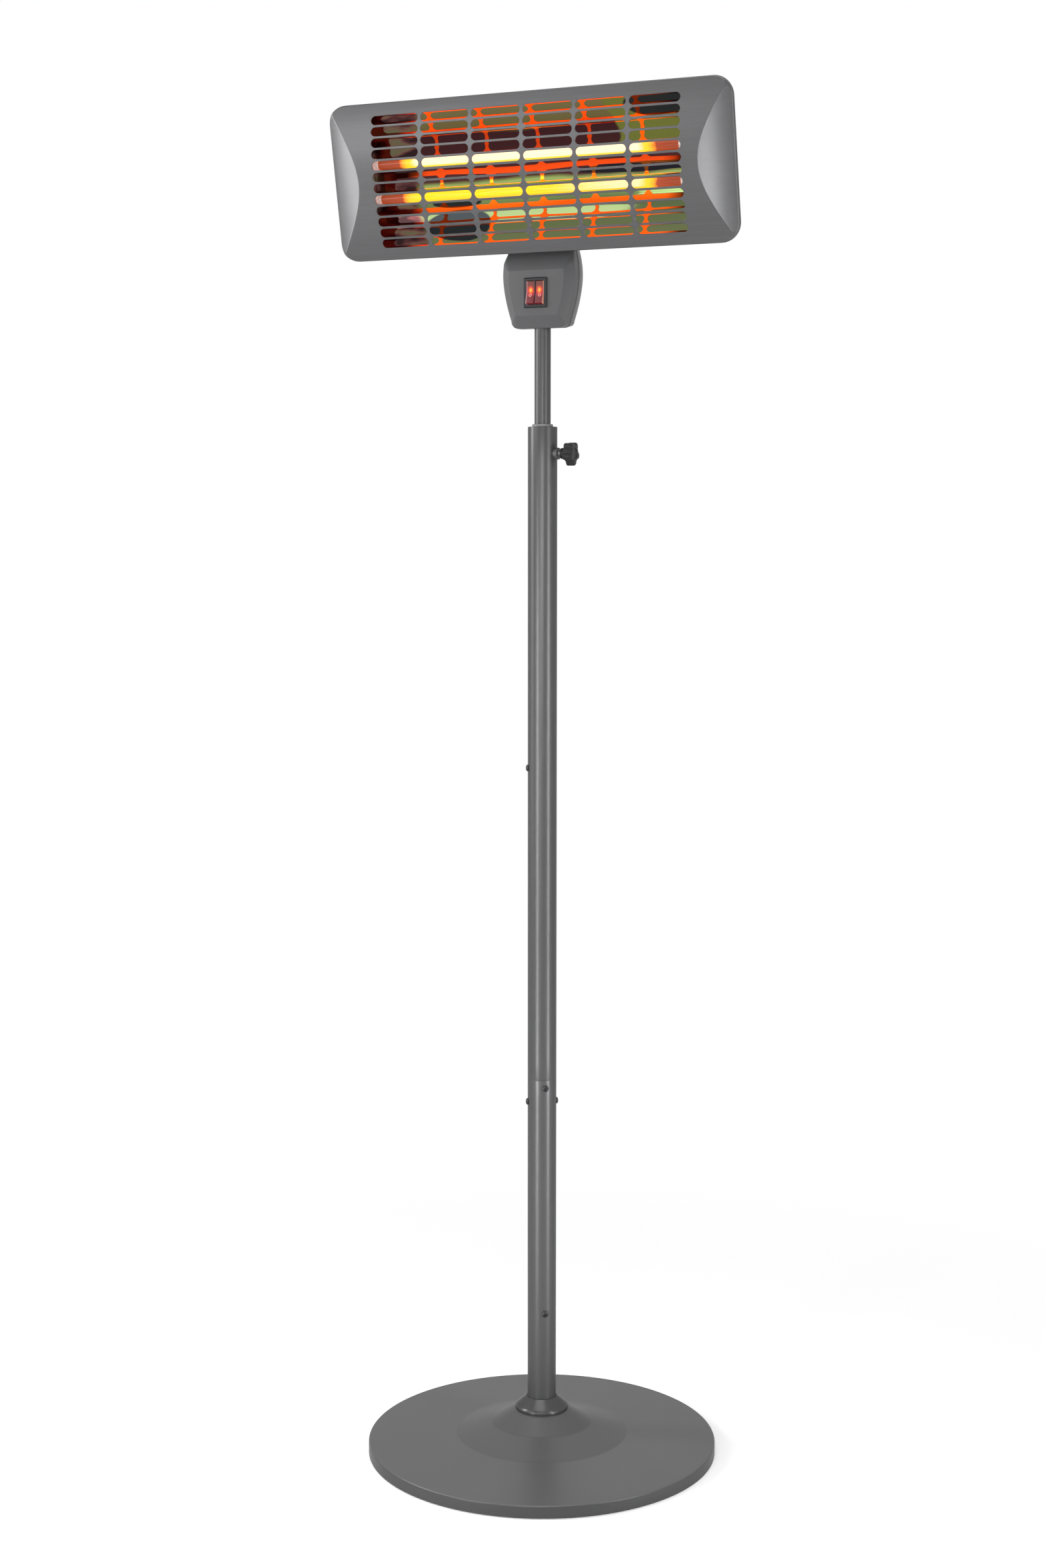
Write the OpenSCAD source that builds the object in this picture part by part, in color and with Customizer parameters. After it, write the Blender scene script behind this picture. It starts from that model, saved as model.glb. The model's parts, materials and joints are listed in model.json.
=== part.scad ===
// Infrared patio heater: a two-tube reflector head on a telescopic pole with a round weighted base.
// Millimetres. +Z is up, the origin is on the pole axis at floor level and the head faces -Y.

/* [Base] */
// Radius of the round base
base_r = 245; // [200:5:290]
// Height of the base rim above the floor
rim_h = 19; // [16:1:24]
// Rounding radius of the rim's upper edge
rim_edge_r = 2.5; // [1:0.5:4]
// Sheet thickness of the base cover
cover_t = 1.2; // [0.8:0.1:2]
// Radius at which the hill round the pole starts
hill_r = 120; // [90:5:150]
// Height of the cover where the hill starts
hill_h = 27; // [25:1:36]
// Radius of the flat land on top of the hill
land_r = 38; // [34:1:48]
// Height of the flat land on top of the hill
land_h = 61; // [50:1:80]
// Thickness of the steel bottom plate
plate_t = 1.2; // [0.8:0.1:2]
// Thickness of the rubber feet
foot_h = 1.6; // [1:0.2:4]
// Radius of one rubber foot
foot_r = 13; // [8:1:20]
// Radius of the ring on which the feet stand
foot_ring_r = 214; // [170:2:225]
// Number of rubber feet
foot_count = 6; // [4:1:10]
// Height of the pole collar
collar_h = 18; // [12:1:30]
// Thickness of the collar's vertical lower edge
collar_edge_h = 2; // [1:0.5:3]
// Radius of the collar at its upper edge
collar_top_r = 21.4; // [21:0.1:24]

/* [Pole] */
// Outer radius of the lower and upper tube
pole_r = 20; // [19:0.5:20.5]
// Wall thickness of the lower and upper tube
pole_wall = 1.5; // [1:0.1:2]
// Height at which the two tubes meet
joint_z = 537; // [450:1:650]
// Height of the upper tube's top edge
pole_top_z = 1436; // [1400:1:1460]
// Edge rounding at the upper tube's top
pole_edge = 1; // [0.4:0.1:1.2]
// Length of the joint sleeve inside each tube
sleeve_half = 60; // [50:1:90]
// Wall thickness of the joint sleeve
sleeve_wall = 1.5; // [1:0.1:2.5]
// Height of the spigot tube's upper end
spigot_top_z = 236; // [220:1:300]
// Height of the screw that holds the lower tube on the spigot
foot_screw_z = 203; // [150:1:210]
// Depth of the front joint screw below the tubes' joint
front_joint_screw_drop = 11; // [9:1:20]
// Depth of the two side joint screws below the tubes' joint
side_joint_screw_drop = 33; // [28:1:42]
// Turn of the front screws from the face direction, towards +X
front_screw_turn = 38; // [20:1:60]
// Turn of the first side joint screw and of the stop screw
side_screw_turn = -54; // [-70:1:-40]
// Height of the screw that stops the mast from below
stop_screw_z = 972; // [900:1:1000]
// Radius of the tube screws' heads
tube_screw_head_r = 4.6; // [3.5:0.1:5.5]
// Height of the tube screws' heads
tube_screw_head_h = 2.8; // [2:0.1:3.5]
// Radius of the tube screws' shanks
tube_screw_r = 2.1; // [1.5:0.1:2.5]
// Depth of the nylon top bush inside the upper tube
bush_depth = 20; // [14:1:24]
// Height of the bush's ring above the tube
bush_ring_h = 3.6; // [2:0.2:6]
// Outer radius of the bush's ring
bush_ring_r = 14.2; // [13.4:0.1:17]

/* [Mast] */
// Outer radius of the sliding mast
mast_r = 11; // [10:0.5:11.5]
// Wall thickness of the mast
mast_wall = 1.3; // [1:0.1:2]
// Travel of the mast below its stored height
mast_down = 32; // [10:1:60]
// Length of the nylon guide on the mast's foot
guide_len = 30; // [20:1:45]
// Thickness of the guide's floor under the mast
guide_floor = 4; // [2:0.5:8]
// Depth of the mast inside the control box
mast_in_box = 26; // [22:1:28]

/* [Clamp] */
// Depth of the clamp knob's axis below the pole's top
clamp_drop = 36; // [34:1:51]
// Radius of the boss welded on the tube
boss_r = 8; // [7:0.5:10]
// Height of the boss beyond the tube's outside
boss_h = 4; // [3:0.5:6]
// Radius of the clamp stud
stud_r = 3.95; // [3:0.05:4.5]
// Bare stud between boss and knob
stud_bare = 4; // [3.5:0.5:8]
// Radius of the pressing pad
pad_r = 5; // [4.5:0.1:5.4]
// Thickness of the pressing pad
pad_t = 3.4; // [3:0.1:3.6]
// Radius of the knob over its lobes
knob_r = 16.5; // [14:0.5:20]
// Radius of one rounded knob lobe
knob_lobe_r = 4.4; // [4:0.1:5.4]
// Radius of the knob's core between the lobes
knob_core_r = 12.6; // [11.8:0.1:13]
// Number of knob lobes
knob_lobes = 5; // [5:1:7]
// Turn of the first knob lobe, from straight back towards the top
knob_turn = -14; // [-36:1:36]
// Thickness of the knob's lobed head
knob_head_t = 12.5; // [9:0.5:16]
// Radius of the knob's hub
knob_hub_r = 7.5; // [6.5:0.5:9]
// Length of the knob's hub
knob_hub_len = 8; // [6:0.5:12]

/* [Control box] */
// Height of the box's underside above the pole's top, as stored
box_up = 131; // [119:1:150]
// Half width of the box at its underside, corners left out
box_foot_w = 37; // [34:1:41]
// Half width of the box at its widest
box_belly_w = 53; // [48:1:58]
// Half width of the box at its top
box_head_w = 45; // [42:1:50]
// Height of the box
box_h = 113; // [110:1:118]
// Height of the widest place above the underside
box_belly_h = 70; // [60:1:80]
// Depth of the box in front of the shells' parting plane
box_front_d = 23; // [22:0.5:26]
// Depth of the box behind the parting plane
box_back_d = 30; // [29:0.5:36]
// How far the rear shell's sides draw in between the parting plane and its bevel
rear_draft = 3.6; // [1:0.1:4.4]
// Wall thickness of the plastic shells
box_wall = 2.2; // [1.8:0.1:2.6]
// Width of the bevel round the flat front panel
bevel_w = 12; // [8:0.5:14]
// Depth of the bevel round the flat front panel
bevel_d = 10; // [6:0.5:12]
// Height of the flat front panel's upper edge above the underside
panel_top = 76; // [74:1:82]
// Height of the flat front panel's lower edge above the underside
panel_bottom = 16; // [14:1:20]
// Height at which the upper front slope bends back further
shoulder_h = 94; // [90:1:98]
// Rounding of the box's lower corners
box_corner_r = 10; // [6:0.5:14]

/* [Switch] */
// Height of the switch's centre above the box's underside
switch_up = 46; // [44:1:50]
// Width of the switch bezel
bezel_w = 34; // [32:0.5:38]
// Height of the switch bezel
bezel_h = 40; // [39:0.5:44]
// Thickness of the bezel in front of the panel
bezel_t = 2.4; // [1.6:0.1:3.2]
// Width of the bezel's border round the rockers
bezel_border = 4; // [3:0.1:5]
// Width of the bar between the two rockers
bezel_bar = 1.4; // [1:0.1:2.4]
// Depth of the switch body behind the panel's face
switch_d = 20; // [18:0.5:21.5]
// Swing of a rocker between on and off
rocker_swing = 16; // [10:1:18]

/* [Head] */
// Length of the head
head_w = 583; // [520:1:620]
// Height of the head
head_h = 208; // [205:1:216]
// Corner radius of the head
head_corner_r = 26; // [18:1:34]
// Rise of the bowed front at mid height
bow = 18; // [14:0.5:20]
// Length of the scooped end facets at mid height
facet_len = 46; // [38:1:50]
// Bulge of the scooped end facets
facet_bulge = 1.6; // [1:0.1:2.4]
// Sheet thickness of the front grille
grille_t = 1.2; // [0.8:0.1:1.6]
// Depth of the grille's skirt behind the rim
skirt_d = 6.7; // [6:0.1:9]
// Width of the skirt's returned lip
lip_w = 11; // [9:0.5:12]
// Backward tilt of the face's lower edge, as stored
tilt = 11; // [5:0.5:14]
// Height of the head's centre above the hinge axis
head_up = 107; // [104:1:130]
// Distance of the head's rim plane in front of the mast axis
head_front = 47; // [44:0.5:52]
// Slot columns
slot_cols = 6; // [4:1:6]
// Slot rows
slot_rows = 12; // [8:2:12]
// Bar between two neighbouring slots of a row
slot_bar = 4.5; // [3:0.1:12]
// Height of one slot
slot_h = 12; // [8:0.1:12.4]
// Plain sheet at each end of the rows of slots, to the middle of the first bar
slot_margin = 65.9; // [61:0.1:70]
// Distance between slot rows along the bow
slot_pitch_z = 15; // [14:0.1:15.6]
// Depth of the rear housing behind the rim plane
housing_d = 50; // [46:1:56]
// Length that each end of the housing loses towards its back
housing_end_taper = 30; // [26:1:40]
// Height that the housing's top and bottom lose towards their back
housing_side_taper = 27; // [22:1:32]
// Wall thickness of the rear housing
housing_t = 1.5; // [1.2:0.1:2]

/* [Heating elements] */
// Distance of each element from the head's middle
element_z = 22.7; // [22:0.1:25]
// Outer radius of the quartz tubes
quartz_r = 6.5; // [6:0.1:7.5]
// Wall thickness of the quartz tubes
quartz_wall = 1; // [0.8:0.1:1.4]
// How far the quartz tubes reach past the element plates' inner faces
quartz_past = 2; // [1:0.5:6]
// Cold length of a quartz tube past each end of its glowing coil
coil_cold = 52; // [33:1:68]
// Outer radius of the heating coils
coil_r = 4.6; // [4:0.1:4.8]
// Radius of the ceramic caps
cap_r = 9; // [8.5:0.1:9.5]
// Length of the ceramic caps
cap_len = 26; // [22:1:32]
// Distance of the element plates' inner faces from the head's ends
element_plate_in = 55.5; // [53.5:0.5:60]
// Sheet thickness of the reflector
reflector_t = 0.8; // [0.5:0.1:1]
// Depth of the reflector's floor behind the rim plane
reflector_d = 14; // [13:0.5:18]

/* [Tilt hinge] */
// Distance of the hinge axis behind the mast axis
hinge_y = 8; // [6:0.5:9]
// Height of the hinge axis above the box's underside
hinge_up = 93; // [90:1:94]
// Radius of the hinge bolt
hinge_bolt_r = 4; // [3:0.1:4.5]
// Thickness of the mast bracket's sheet
bracket_t = 3; // [2:0.1:3.4]
// Thickness of the head bracket's arms
arm_t = 3; // [2:0.1:3.4]
// Half width of the head bracket's arms
arm_half_w = 8; // [7.5:0.5:8.5]
// Thickness of one friction washer
friction_washer_t = 1; // [0.8:0.1:1.5]

/* [Cable gland] */
// Radius of the cable bore
gland_bore_r = 4.2; // [3:0.1:4.6]
// Length of the gland outside the box
gland_out = 18; // [14:1:24]

/* [Hidden] */
$fn = 64;

// General clearances
run_fit = 0.05;        // radial play of a shaft that turns or slides in its bore
loose_fit = 0.3;       // gap between curved faces that only pass each other
cut = 1;               // how far a cutting tool runs past the face it cuts

// Colours
paint_grey = [0.40, 0.40, 0.41];
box_grey = [0.36, 0.36, 0.37];
plastic_black = [0.09, 0.09, 0.10];
zinc = [0.72, 0.73, 0.74];
mirror_metal = [0.85, 0.86, 0.88];
ceramic_white = [0.90, 0.88, 0.84];
lit_red = [0.85, 0.15, 0.08];
glow_yellow = [1.00, 0.82, 0.45];

// Base, worked out
weight_gap = 0.5;      // gap between the concrete and the cover
plate_top_z = foot_h + plate_t;
weight_top_z = land_h - cover_t - weight_gap;
bolt_r = 5;            // radius of the spigot bolt
bolt_head_r = 9;       // half width of its hexagon head over the corners
bolt_head_h = 6.4;
washer_r = 24;
washer_t = 2.5;
recess_r = 26;         // recess under the weight for bolt and washer
recess_z = foot_h + 1 + bolt_head_h + washer_t;
spigot_gap = 0.15;     // play between spigot or sleeve and the tube round it
spigot_plug_h = 10;
hill_bend = 0.61;      // share of the way from the hill's foot to its land where the slope steepens
hill_bend_rise = 0.455; // share of the rise that the hill has there
collar_lip = [[1, 0], [0.985, 0.11], [0.93, 0.22], [0, 1]]; // shares of the collar's flare and height
plate_screw_count = 4;
plate_screw_ring_r = 150;
plate_screw_head_h = 1.2;

// Pole, worked out
pole_bore_r = pole_r - pole_wall;
clamp_z = pole_top_z - clamp_drop;
box_z = pole_top_z + box_up;
spigot_r = pole_bore_r - spigot_gap;
screw_reach = 6;       // length of a tube screw's shank behind the outer tube's face
stop_reach = 11;       // how far the stop screw reaches in from the tube's face

// Mast, worked out
guide_r = pole_bore_r - run_fit;
stop_gap = 0.5;        // what is left between guide and stop screw at the lowest place
guide_z = stop_screw_z + tube_screw_r + stop_gap + mast_down;
mast_foot_z = guide_z + guide_floor;
mast_top_z = box_z + mast_in_box;

// Clamp, worked out
pad_x = mast_r + loose_fit;
stud_tip_len = 1.6;    // turned-down tip of the stud inside the pad
stud_tip_r = 2.4;
stud_x = pad_x + pad_t;
hub_x = pole_r + boss_h + stud_bare;
knob_x = hub_x + knob_hub_len;
knob_end_x = knob_x + knob_head_t;
stud_end_x = knob_end_x - 3;

// Control box, worked out
box_side_steps = 14;
switch_z = box_z + switch_up;
shell_post_r = 4;
shell_post_bore_r = 1.6;
shell_posts = [[27, box_z + 18], [37, box_z + 92]];
back_bevel = 8;        // depth of the bevel round the back of the rear shell
back_bevel_in = 4;     // and how far it draws in
box_mouth_w = 22;      // half width of the opening for the head bracket in the box's top
box_mouth_front = -4;  // front edge of that opening

// Mast bracket, worked out
web_y = mast_r + 0.1;  // front face of the bracket's web, against the mast
ear_x = mast_r + 0.1;  // inner face of the bracket's ears
ear_out_x = ear_x + bracket_t;
ear_front_y = -1;
bracket_foot_z = box_z + 5;
hinge_z = box_z + hinge_up;
head_z = hinge_z + head_up;
ear_r = 10;
web_top_z = hinge_z - ear_r - 6;
mast_screw_zs = [box_z + 10, box_z + 20];
mast_screw_r = 2;

// Head, worked out: local frame with x along the head, y backwards, z up the face
bow_r = (pow(head_h / 2, 2) + pow(bow, 2)) / (2 * bow);
facet_chord = sqrt(pow(facet_len, 2) + pow(bow, 2));
facet_r = pow(facet_chord, 2) / (8 * facet_bulge) + facet_bulge / 2;
facet_mid = [head_w / 2 - facet_len / 2, -bow / 2];
facet_inwards = [-bow, facet_len] / facet_chord;
facet_centre = facet_mid + facet_inwards * (facet_r - facet_bulge);
housing_gap = 0.1;     // between the grille's lip and the housing's flange
flange_y = skirt_d + housing_gap;
flange_edge = 2;       // how far the housing's flange stays inside the grille's outline
tub_half_w = head_w / 2 - lip_w - 5;
tub_half_h = head_h / 2 - lip_w;
tub_corner_r = 16;
tub_back_w = tub_half_w - housing_end_taper;
tub_back_h = tub_half_h - housing_side_taper;
tub_back_corner_r = 10;
back_inner_y = housing_d - housing_t;
vent_count = 9;
vent_len = 34;
vent_h = 3.6;
vent_pitch = 8;
vent_in = 95.5;        // from the end of the housing's back to the middle of its vents
vent_x = tub_back_w - vent_in;
housing_screw_in = 29.15;   // from the head's end to its outer screws
housing_screw_xs = [-1, 0, 1] * (head_w / 2 - housing_screw_in);
slot_pitch_x = (head_w - 2 * slot_margin) / slot_cols;
slot_len = slot_pitch_x - slot_bar;
reflector_edge_y = flange_y + 1.5;
reflector_edge_z = tub_half_h - housing_t - 0.2
  - housing_side_taper * (reflector_edge_y + reflector_t - flange_y) / (housing_d - flange_y);

// Elements, worked out
element_y = -2;        // depth of the tubes behind the rim plane
coil_bore_r = coil_r - 0.6;
element_plate_x = head_w / 2 - element_plate_in;
quartz_half = element_plate_x + quartz_past;
coil_half = quartz_half - coil_cold;
cap_x = quartz_half - 20;
element_plate_t = 1.2;
element_foot_w = 14;
element_plate_h = 2 * element_z + 4 * cap_r;

// Tilt hinge in the head's own frame
hinge_dy = hinge_y + head_front;
hinge_dz = hinge_z - head_z;
hinge_local = [hinge_dy * cos(tilt) + hinge_dz * sin(tilt),
               hinge_dz * cos(tilt) - hinge_dy * sin(tilt)];
arm_x = ear_out_x + friction_washer_t + 0.2;
arm_out_x = arm_x + arm_t;
arm_web_t = 2.5;
arm_web_top = -26;     // upper edge of the bracket's web on the housing's back
arm_web_bottom = -tub_back_h + 2;
arm_back_y = housing_d + 10;
hinge_head_h = 5;
hinge_head_r = 7;

// Cable gland, worked out
gland_x = 24;
gland_z = box_z + 40;
gland_thread_r = 6;
gland_thread_in = 9;
gland_hex_r = 10.5;
gland_hex_t = 4;
gland_dome_r = 8.5;

// ---------------------------------------------------------------- shared shapes

// A tube along +Z from z0 to z1
module tube(r, wall, z0, z1) {
  translate([0, 0, z0])
    difference() {
      cylinder(r = r, h = z1 - z0);
      translate([0, 0, -cut]) cylinder(r = r - wall, h = z1 - z0 + 2 * cut);
    }
}

// A plain disc or cylinder along +X from x0 to x1
module x_rod(r, x0, x1) {
  translate([x0, 0, 0])
    rotate([0, 90, 0])
      cylinder(r = r, h = x1 - x0);
}

// A cylinder along +Y from y0 to y1
module y_rod(r, y0, y1) {
  translate([0, y0, 0])
    rotate([-90, 0, 0])
      cylinder(r = r, h = y1 - y0);
}

// Turns children that point along -Y to a place round the pole, at height z
module round_pole(turn, z) {
  translate([0, 0, z])
    rotate([0, 0, turn])
      children();
}

// Pan head screw through the pole's wall, head outside, along -Y
module tube_screw(reach) {
  rotate([90, 0, 0]) {
    translate([0, 0, pole_r - reach])
      cylinder(r = tube_screw_r, h = reach);
    translate([0, 0, pole_r])
      cylinder(r = tube_screw_head_r, h = tube_screw_head_h - 1);
    translate([0, 0, pole_r + tube_screw_head_h - 1])
      cylinder(r1 = tube_screw_head_r, r2 = tube_screw_head_r - 1.6, h = 1);
  }
}

// Clearance hole for one tube screw, along -Y
module tube_screw_hole() {
  rotate([90, 0, 0])
    cylinder(r = tube_screw_r + run_fit, h = pole_r + cut);
}

// Small screw along +Y with its head at y = 0 and its shank forwards (-Y)
module back_screw(head_r, head_h, shank_r, shank_len) {
  y_rod(head_r, 0, head_h);
  y_rod(shank_r, -shank_len, 0);
}

// Places the head: face towards -Y, tilted downwards
module place_head() {
  translate([0, -head_front, head_z])
    rotate([tilt, 0, 0])
      children();
}

// ---------------------------------------------------------------- base

function hill_points(drop) =
  [for (p = [[0, 0], [hill_bend, hill_bend_rise], [1, 1]])
    [hill_r + (land_r - hill_r) * p[0], hill_h + (land_h - hill_h) * p[1] - drop]];

function reversed(list) = [for (i = [len(list) - 1 : -1 : 0]) list[i]];

function arc_points(centre, r, from, to, steps) =
  [for (i = [0 : steps])
    let (a = from + (to - from) * i / steps)
    [centre[0] + r * cos(a), centre[1] + r * sin(a)]];

module rubber_feet() {
  color(plastic_black)
    for (i = [0 : foot_count - 1])
      rotate([0, 0, 360 * (i + 0.5) / foot_count])
        translate([foot_ring_r, 0, 0])
          cylinder(r = foot_r, h = foot_h);
}

module bottom_plate() {
  color(zinc)
    translate([0, 0, foot_h])
      difference() {
        cylinder(r = base_r - cover_t - loose_fit, h = plate_t, $fn = 128);
        translate([0, 0, -cut]) cylinder(r = recess_r - 1, h = plate_t + 2 * cut);
        for (i = [0 : plate_screw_count - 1])
          rotate([0, 0, 360 * i / plate_screw_count])
            translate([plate_screw_ring_r, 0, -cut])
              cylinder(r = 2.2, h = plate_t + 2 * cut);
      }
}

module plate_screws() {
  color(zinc)
    for (i = [0 : plate_screw_count - 1])
      rotate([0, 0, 360 * i / plate_screw_count])
        translate([plate_screw_ring_r, 0, 0]) {
          translate([0, 0, foot_h - plate_screw_head_h])
            cylinder(r = 4, h = plate_screw_head_h);
          translate([0, 0, foot_h])
            cylinder(r = 2, h = 12);
        }
}

module base_weight() {
  edge_r = base_r - cover_t - 1;
  edge_z = rim_h - cover_t - weight_gap;
  color([0.62, 0.61, 0.58])
    difference() {
      rotate_extrude($fn = 128)
        polygon(concat(
          [[spigot_r + loose_fit, plate_top_z],
           [edge_r, plate_top_z],
           [edge_r, edge_z - rim_edge_r],
           [edge_r - rim_edge_r, edge_z]],
          hill_points(cover_t + weight_gap),
          [[spigot_r + loose_fit, weight_top_z]]));
      cylinder(r = recess_r, h = recess_z);
      for (i = [0 : plate_screw_count - 1])
        rotate([0, 0, 360 * i / plate_screw_count])
          translate([plate_screw_ring_r, 0, 0])
            cylinder(r = 2.05, h = foot_h + 13);
    }
}

module base_cover() {
  edge_r = base_r - rim_edge_r;
  color(paint_grey)
    rotate_extrude($fn = 128)
      polygon(concat(
        [[base_r, foot_h]],
        arc_points([edge_r, rim_h - rim_edge_r], rim_edge_r, 0, 90, 6),
        hill_points(0),
        [[pole_r + 0.6, land_h],
         [pole_r + 0.6, land_h - cover_t]],
        reversed(hill_points(cover_t)),
        [[edge_r, rim_h - cover_t],
         [base_r - cover_t, rim_h - rim_edge_r],
         [base_r - cover_t, foot_h]]));
}

module spigot_tube() {
  color(zinc)
    difference() {
      translate([0, 0, recess_z])
        cylinder(r = spigot_r, h = spigot_top_z - recess_z);
      translate([0, 0, recess_z + spigot_plug_h])
        cylinder(r = spigot_r - sleeve_wall, h = spigot_top_z);
      cylinder(r = bolt_r + run_fit, h = spigot_top_z);
      round_pole(front_screw_turn, foot_screw_z) tube_screw_hole();
    }
}

module spigot_bolt() {
  head_z = recess_z - washer_t - bolt_head_h;
  color(zinc) {
    translate([0, 0, head_z]) cylinder(r = bolt_head_r, h = bolt_head_h, $fn = 6);
    translate([0, 0, head_z + bolt_head_h])
      cylinder(r = bolt_r, h = washer_t + spigot_plug_h + 6);
  }
}

module spigot_washer() {
  color(zinc)
    tube(washer_r, washer_r - bolt_r - run_fit, recess_z - washer_t, recess_z);
}

function collar_point(p) =
  [collar_top_r + (land_r - 1 - collar_top_r) * p[0],
   land_h + collar_edge_h + (collar_h - collar_edge_h) * p[1]];

module pole_collar() {
  color(paint_grey)
    rotate_extrude($fn = 96)
      polygon(concat(
        [[pole_r + loose_fit, land_h], [land_r - 1, land_h]],
        [for (p = collar_lip) collar_point(p)],
        [[pole_r + loose_fit, land_h + collar_h]]));
}

// ---------------------------------------------------------------- pole

module lower_tube() {
  color(paint_grey)
    difference() {
      tube(pole_r, pole_wall, weight_top_z, joint_z);
      round_pole(front_screw_turn, foot_screw_z) tube_screw_hole();
      joint_screw_places() tube_screw_hole();
    }
}

module joint_screw_places() {
  round_pole(front_screw_turn, joint_z - front_joint_screw_drop) children();
  round_pole(side_screw_turn, joint_z - side_joint_screw_drop) children();
  round_pole(side_screw_turn + 180, joint_z - side_joint_screw_drop) children();
}

module foot_screw() {
  color(plastic_black)
    round_pole(front_screw_turn, foot_screw_z) tube_screw(screw_reach);
}

module joint_sleeve() {
  color(zinc)
    difference() {
      tube(spigot_r, sleeve_wall, joint_z - sleeve_half, joint_z + sleeve_half);
      joint_screw_places() tube_screw_hole();
    }
}

module joint_screws() {
  color(plastic_black)
    joint_screw_places() tube_screw(screw_reach);
}

module upper_tube() {
  color(paint_grey)
    difference() {
      rotate_extrude()
        polygon(concat(
          [[pole_bore_r, joint_z], [pole_r, joint_z]],
          arc_points([pole_r - pole_edge, pole_top_z - pole_edge], pole_edge, 0, 90, 5),
          [[pole_bore_r, pole_top_z]]));
      round_pole(side_screw_turn, stop_screw_z) tube_screw_hole();
      translate([0, 0, clamp_z]) x_rod(stud_r + loose_fit, 0, pole_r + cut);
    }
}

module stop_screw() {
  color(plastic_black)
    round_pole(side_screw_turn, stop_screw_z) tube_screw(stop_reach);
}

module top_bush() {
  ring_top_z = pole_top_z + bush_ring_h;
  color([0.75, 0.75, 0.74])
    rotate_extrude()
      polygon(concat(
        [[mast_r + run_fit, pole_top_z - bush_depth],
         [pole_bore_r - run_fit, pole_top_z - bush_depth],
         [pole_bore_r - run_fit, pole_top_z - 0.4],
         [bush_ring_r, pole_top_z - 0.4]],
        arc_points([bush_ring_r - 1, ring_top_z - 1], 1, 0, 90, 5),
        [[mast_r + run_fit, ring_top_z]]));
}

// ---------------------------------------------------------------- height clamp

module knob_boss() {
  color(paint_grey)
    translate([0, 0, clamp_z])
      difference() {
        x_rod(boss_r, 0, pole_r + boss_h);
        x_rod(stud_r + run_fit, 0, pole_r + boss_h + cut);
        translate([0, 0, -clamp_z]) cylinder(r = pole_r, h = pole_top_z);
      }
}

module clamp_pad() {
  color([0.78, 0.62, 0.28])
    translate([0, 0, clamp_z])
      difference() {
        x_rod(pad_r, pad_x, pad_x + pad_t);
        x_rod(stud_tip_r + run_fit, pad_x + pad_t - stud_tip_len - 0.2, pad_x + pad_t + cut);
      }
}

module clamp_stud() {
  color(zinc)
    translate([0, 0, clamp_z]) {
      x_rod(stud_tip_r, stud_x - stud_tip_len, stud_x + cut);
      x_rod(stud_r, stud_x + 0.1, stud_end_x);
    }
}

module knob_outline() {
  circle(r = knob_core_r);
  for (i = [0 : knob_lobes - 1])
    rotate(knob_turn + 360 * i / knob_lobes)
      translate([knob_r - knob_lobe_r, 0])
        circle(r = knob_lobe_r);
}

module clamp_knob() {
  cap_t = 1;
  color(plastic_black)
    translate([0, 0, clamp_z])
      difference() {
        union() {
          x_rod(knob_hub_r, hub_x, knob_x + cut);
          translate([knob_x, 0, 0])
            rotate([90, 0, 90])
              linear_extrude(knob_head_t - cap_t)
                knob_outline();
          x_rod(knob_core_r - 3, knob_x + cut, knob_end_x);
        }
        x_rod(stud_r + run_fit, hub_x - cut, stud_end_x);
      }
}

// ---------------------------------------------------------------- mast

module mast_guide() {
  color([0.80, 0.80, 0.78])
    difference() {
      translate([0, 0, guide_z]) cylinder(r = guide_r, h = guide_floor + guide_len);
      translate([0, 0, mast_foot_z]) cylinder(r = mast_r + run_fit, h = guide_len + cut);
      translate([0, 0, guide_z - cut])
        cylinder(r = mast_r - mast_wall - 2, h = guide_floor + 2 * cut);
    }
}

module mast_tube() {
  color(paint_grey)
    difference() {
      tube(mast_r, mast_wall, mast_foot_z + 0.1, mast_top_z);
      for (z = mast_screw_zs)
        translate([0, 0, z]) y_rod(mast_screw_r + run_fit, 0, mast_r + cut);
    }
}

// Outline of one bracket ear in the YZ plane, as a flat sheet of thickness bracket_t along X
module bracket_ear(x) {
  translate([x, 0, 0]) {
    translate([0, ear_front_y, bracket_foot_z])
      cube([bracket_t, web_y + bracket_t - ear_front_y, web_top_z - bracket_foot_z]);
    translate([0, hinge_y - ear_r, web_top_z - 1])
      cube([bracket_t, web_y + bracket_t - hinge_y + ear_r, hinge_z - web_top_z + 1]);
    translate([0, hinge_y, hinge_z]) x_rod(ear_r, 0, bracket_t);
  }
}

module mast_bracket() {
  color(zinc)
    difference() {
      union() {
        bracket_ear(ear_x);
        bracket_ear(-ear_out_x);
        translate([-ear_out_x, web_y, bracket_foot_z])
          cube([2 * ear_out_x, bracket_t, web_top_z - bracket_foot_z]);
      }
      translate([0, hinge_y, hinge_z])
        x_rod(hinge_bolt_r + run_fit, -ear_out_x - cut, ear_out_x + cut);
      for (z = mast_screw_zs)
        translate([0, 0, z])
          y_rod(mast_screw_r + run_fit, web_y - cut, web_y + bracket_t + cut);
    }
}

module mast_screws() {
  color(zinc)
    for (z = mast_screw_zs)
      translate([0, web_y + bracket_t, z])
        back_screw(4, 2.4, mast_screw_r, bracket_t + mast_wall + 2);
}

// ---------------------------------------------------------------- control box

// Half width of the box at height h above its underside, between its foot and its top
function box_half_w(h) =
  h < box_belly_h
    ? box_belly_w - (box_belly_w - box_foot_w) * pow((box_belly_h - h) / box_belly_h, 1.7)
    : box_belly_w - (box_belly_w - box_head_w) * pow((h - box_belly_h) / (box_h - box_belly_h), 2);

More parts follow.
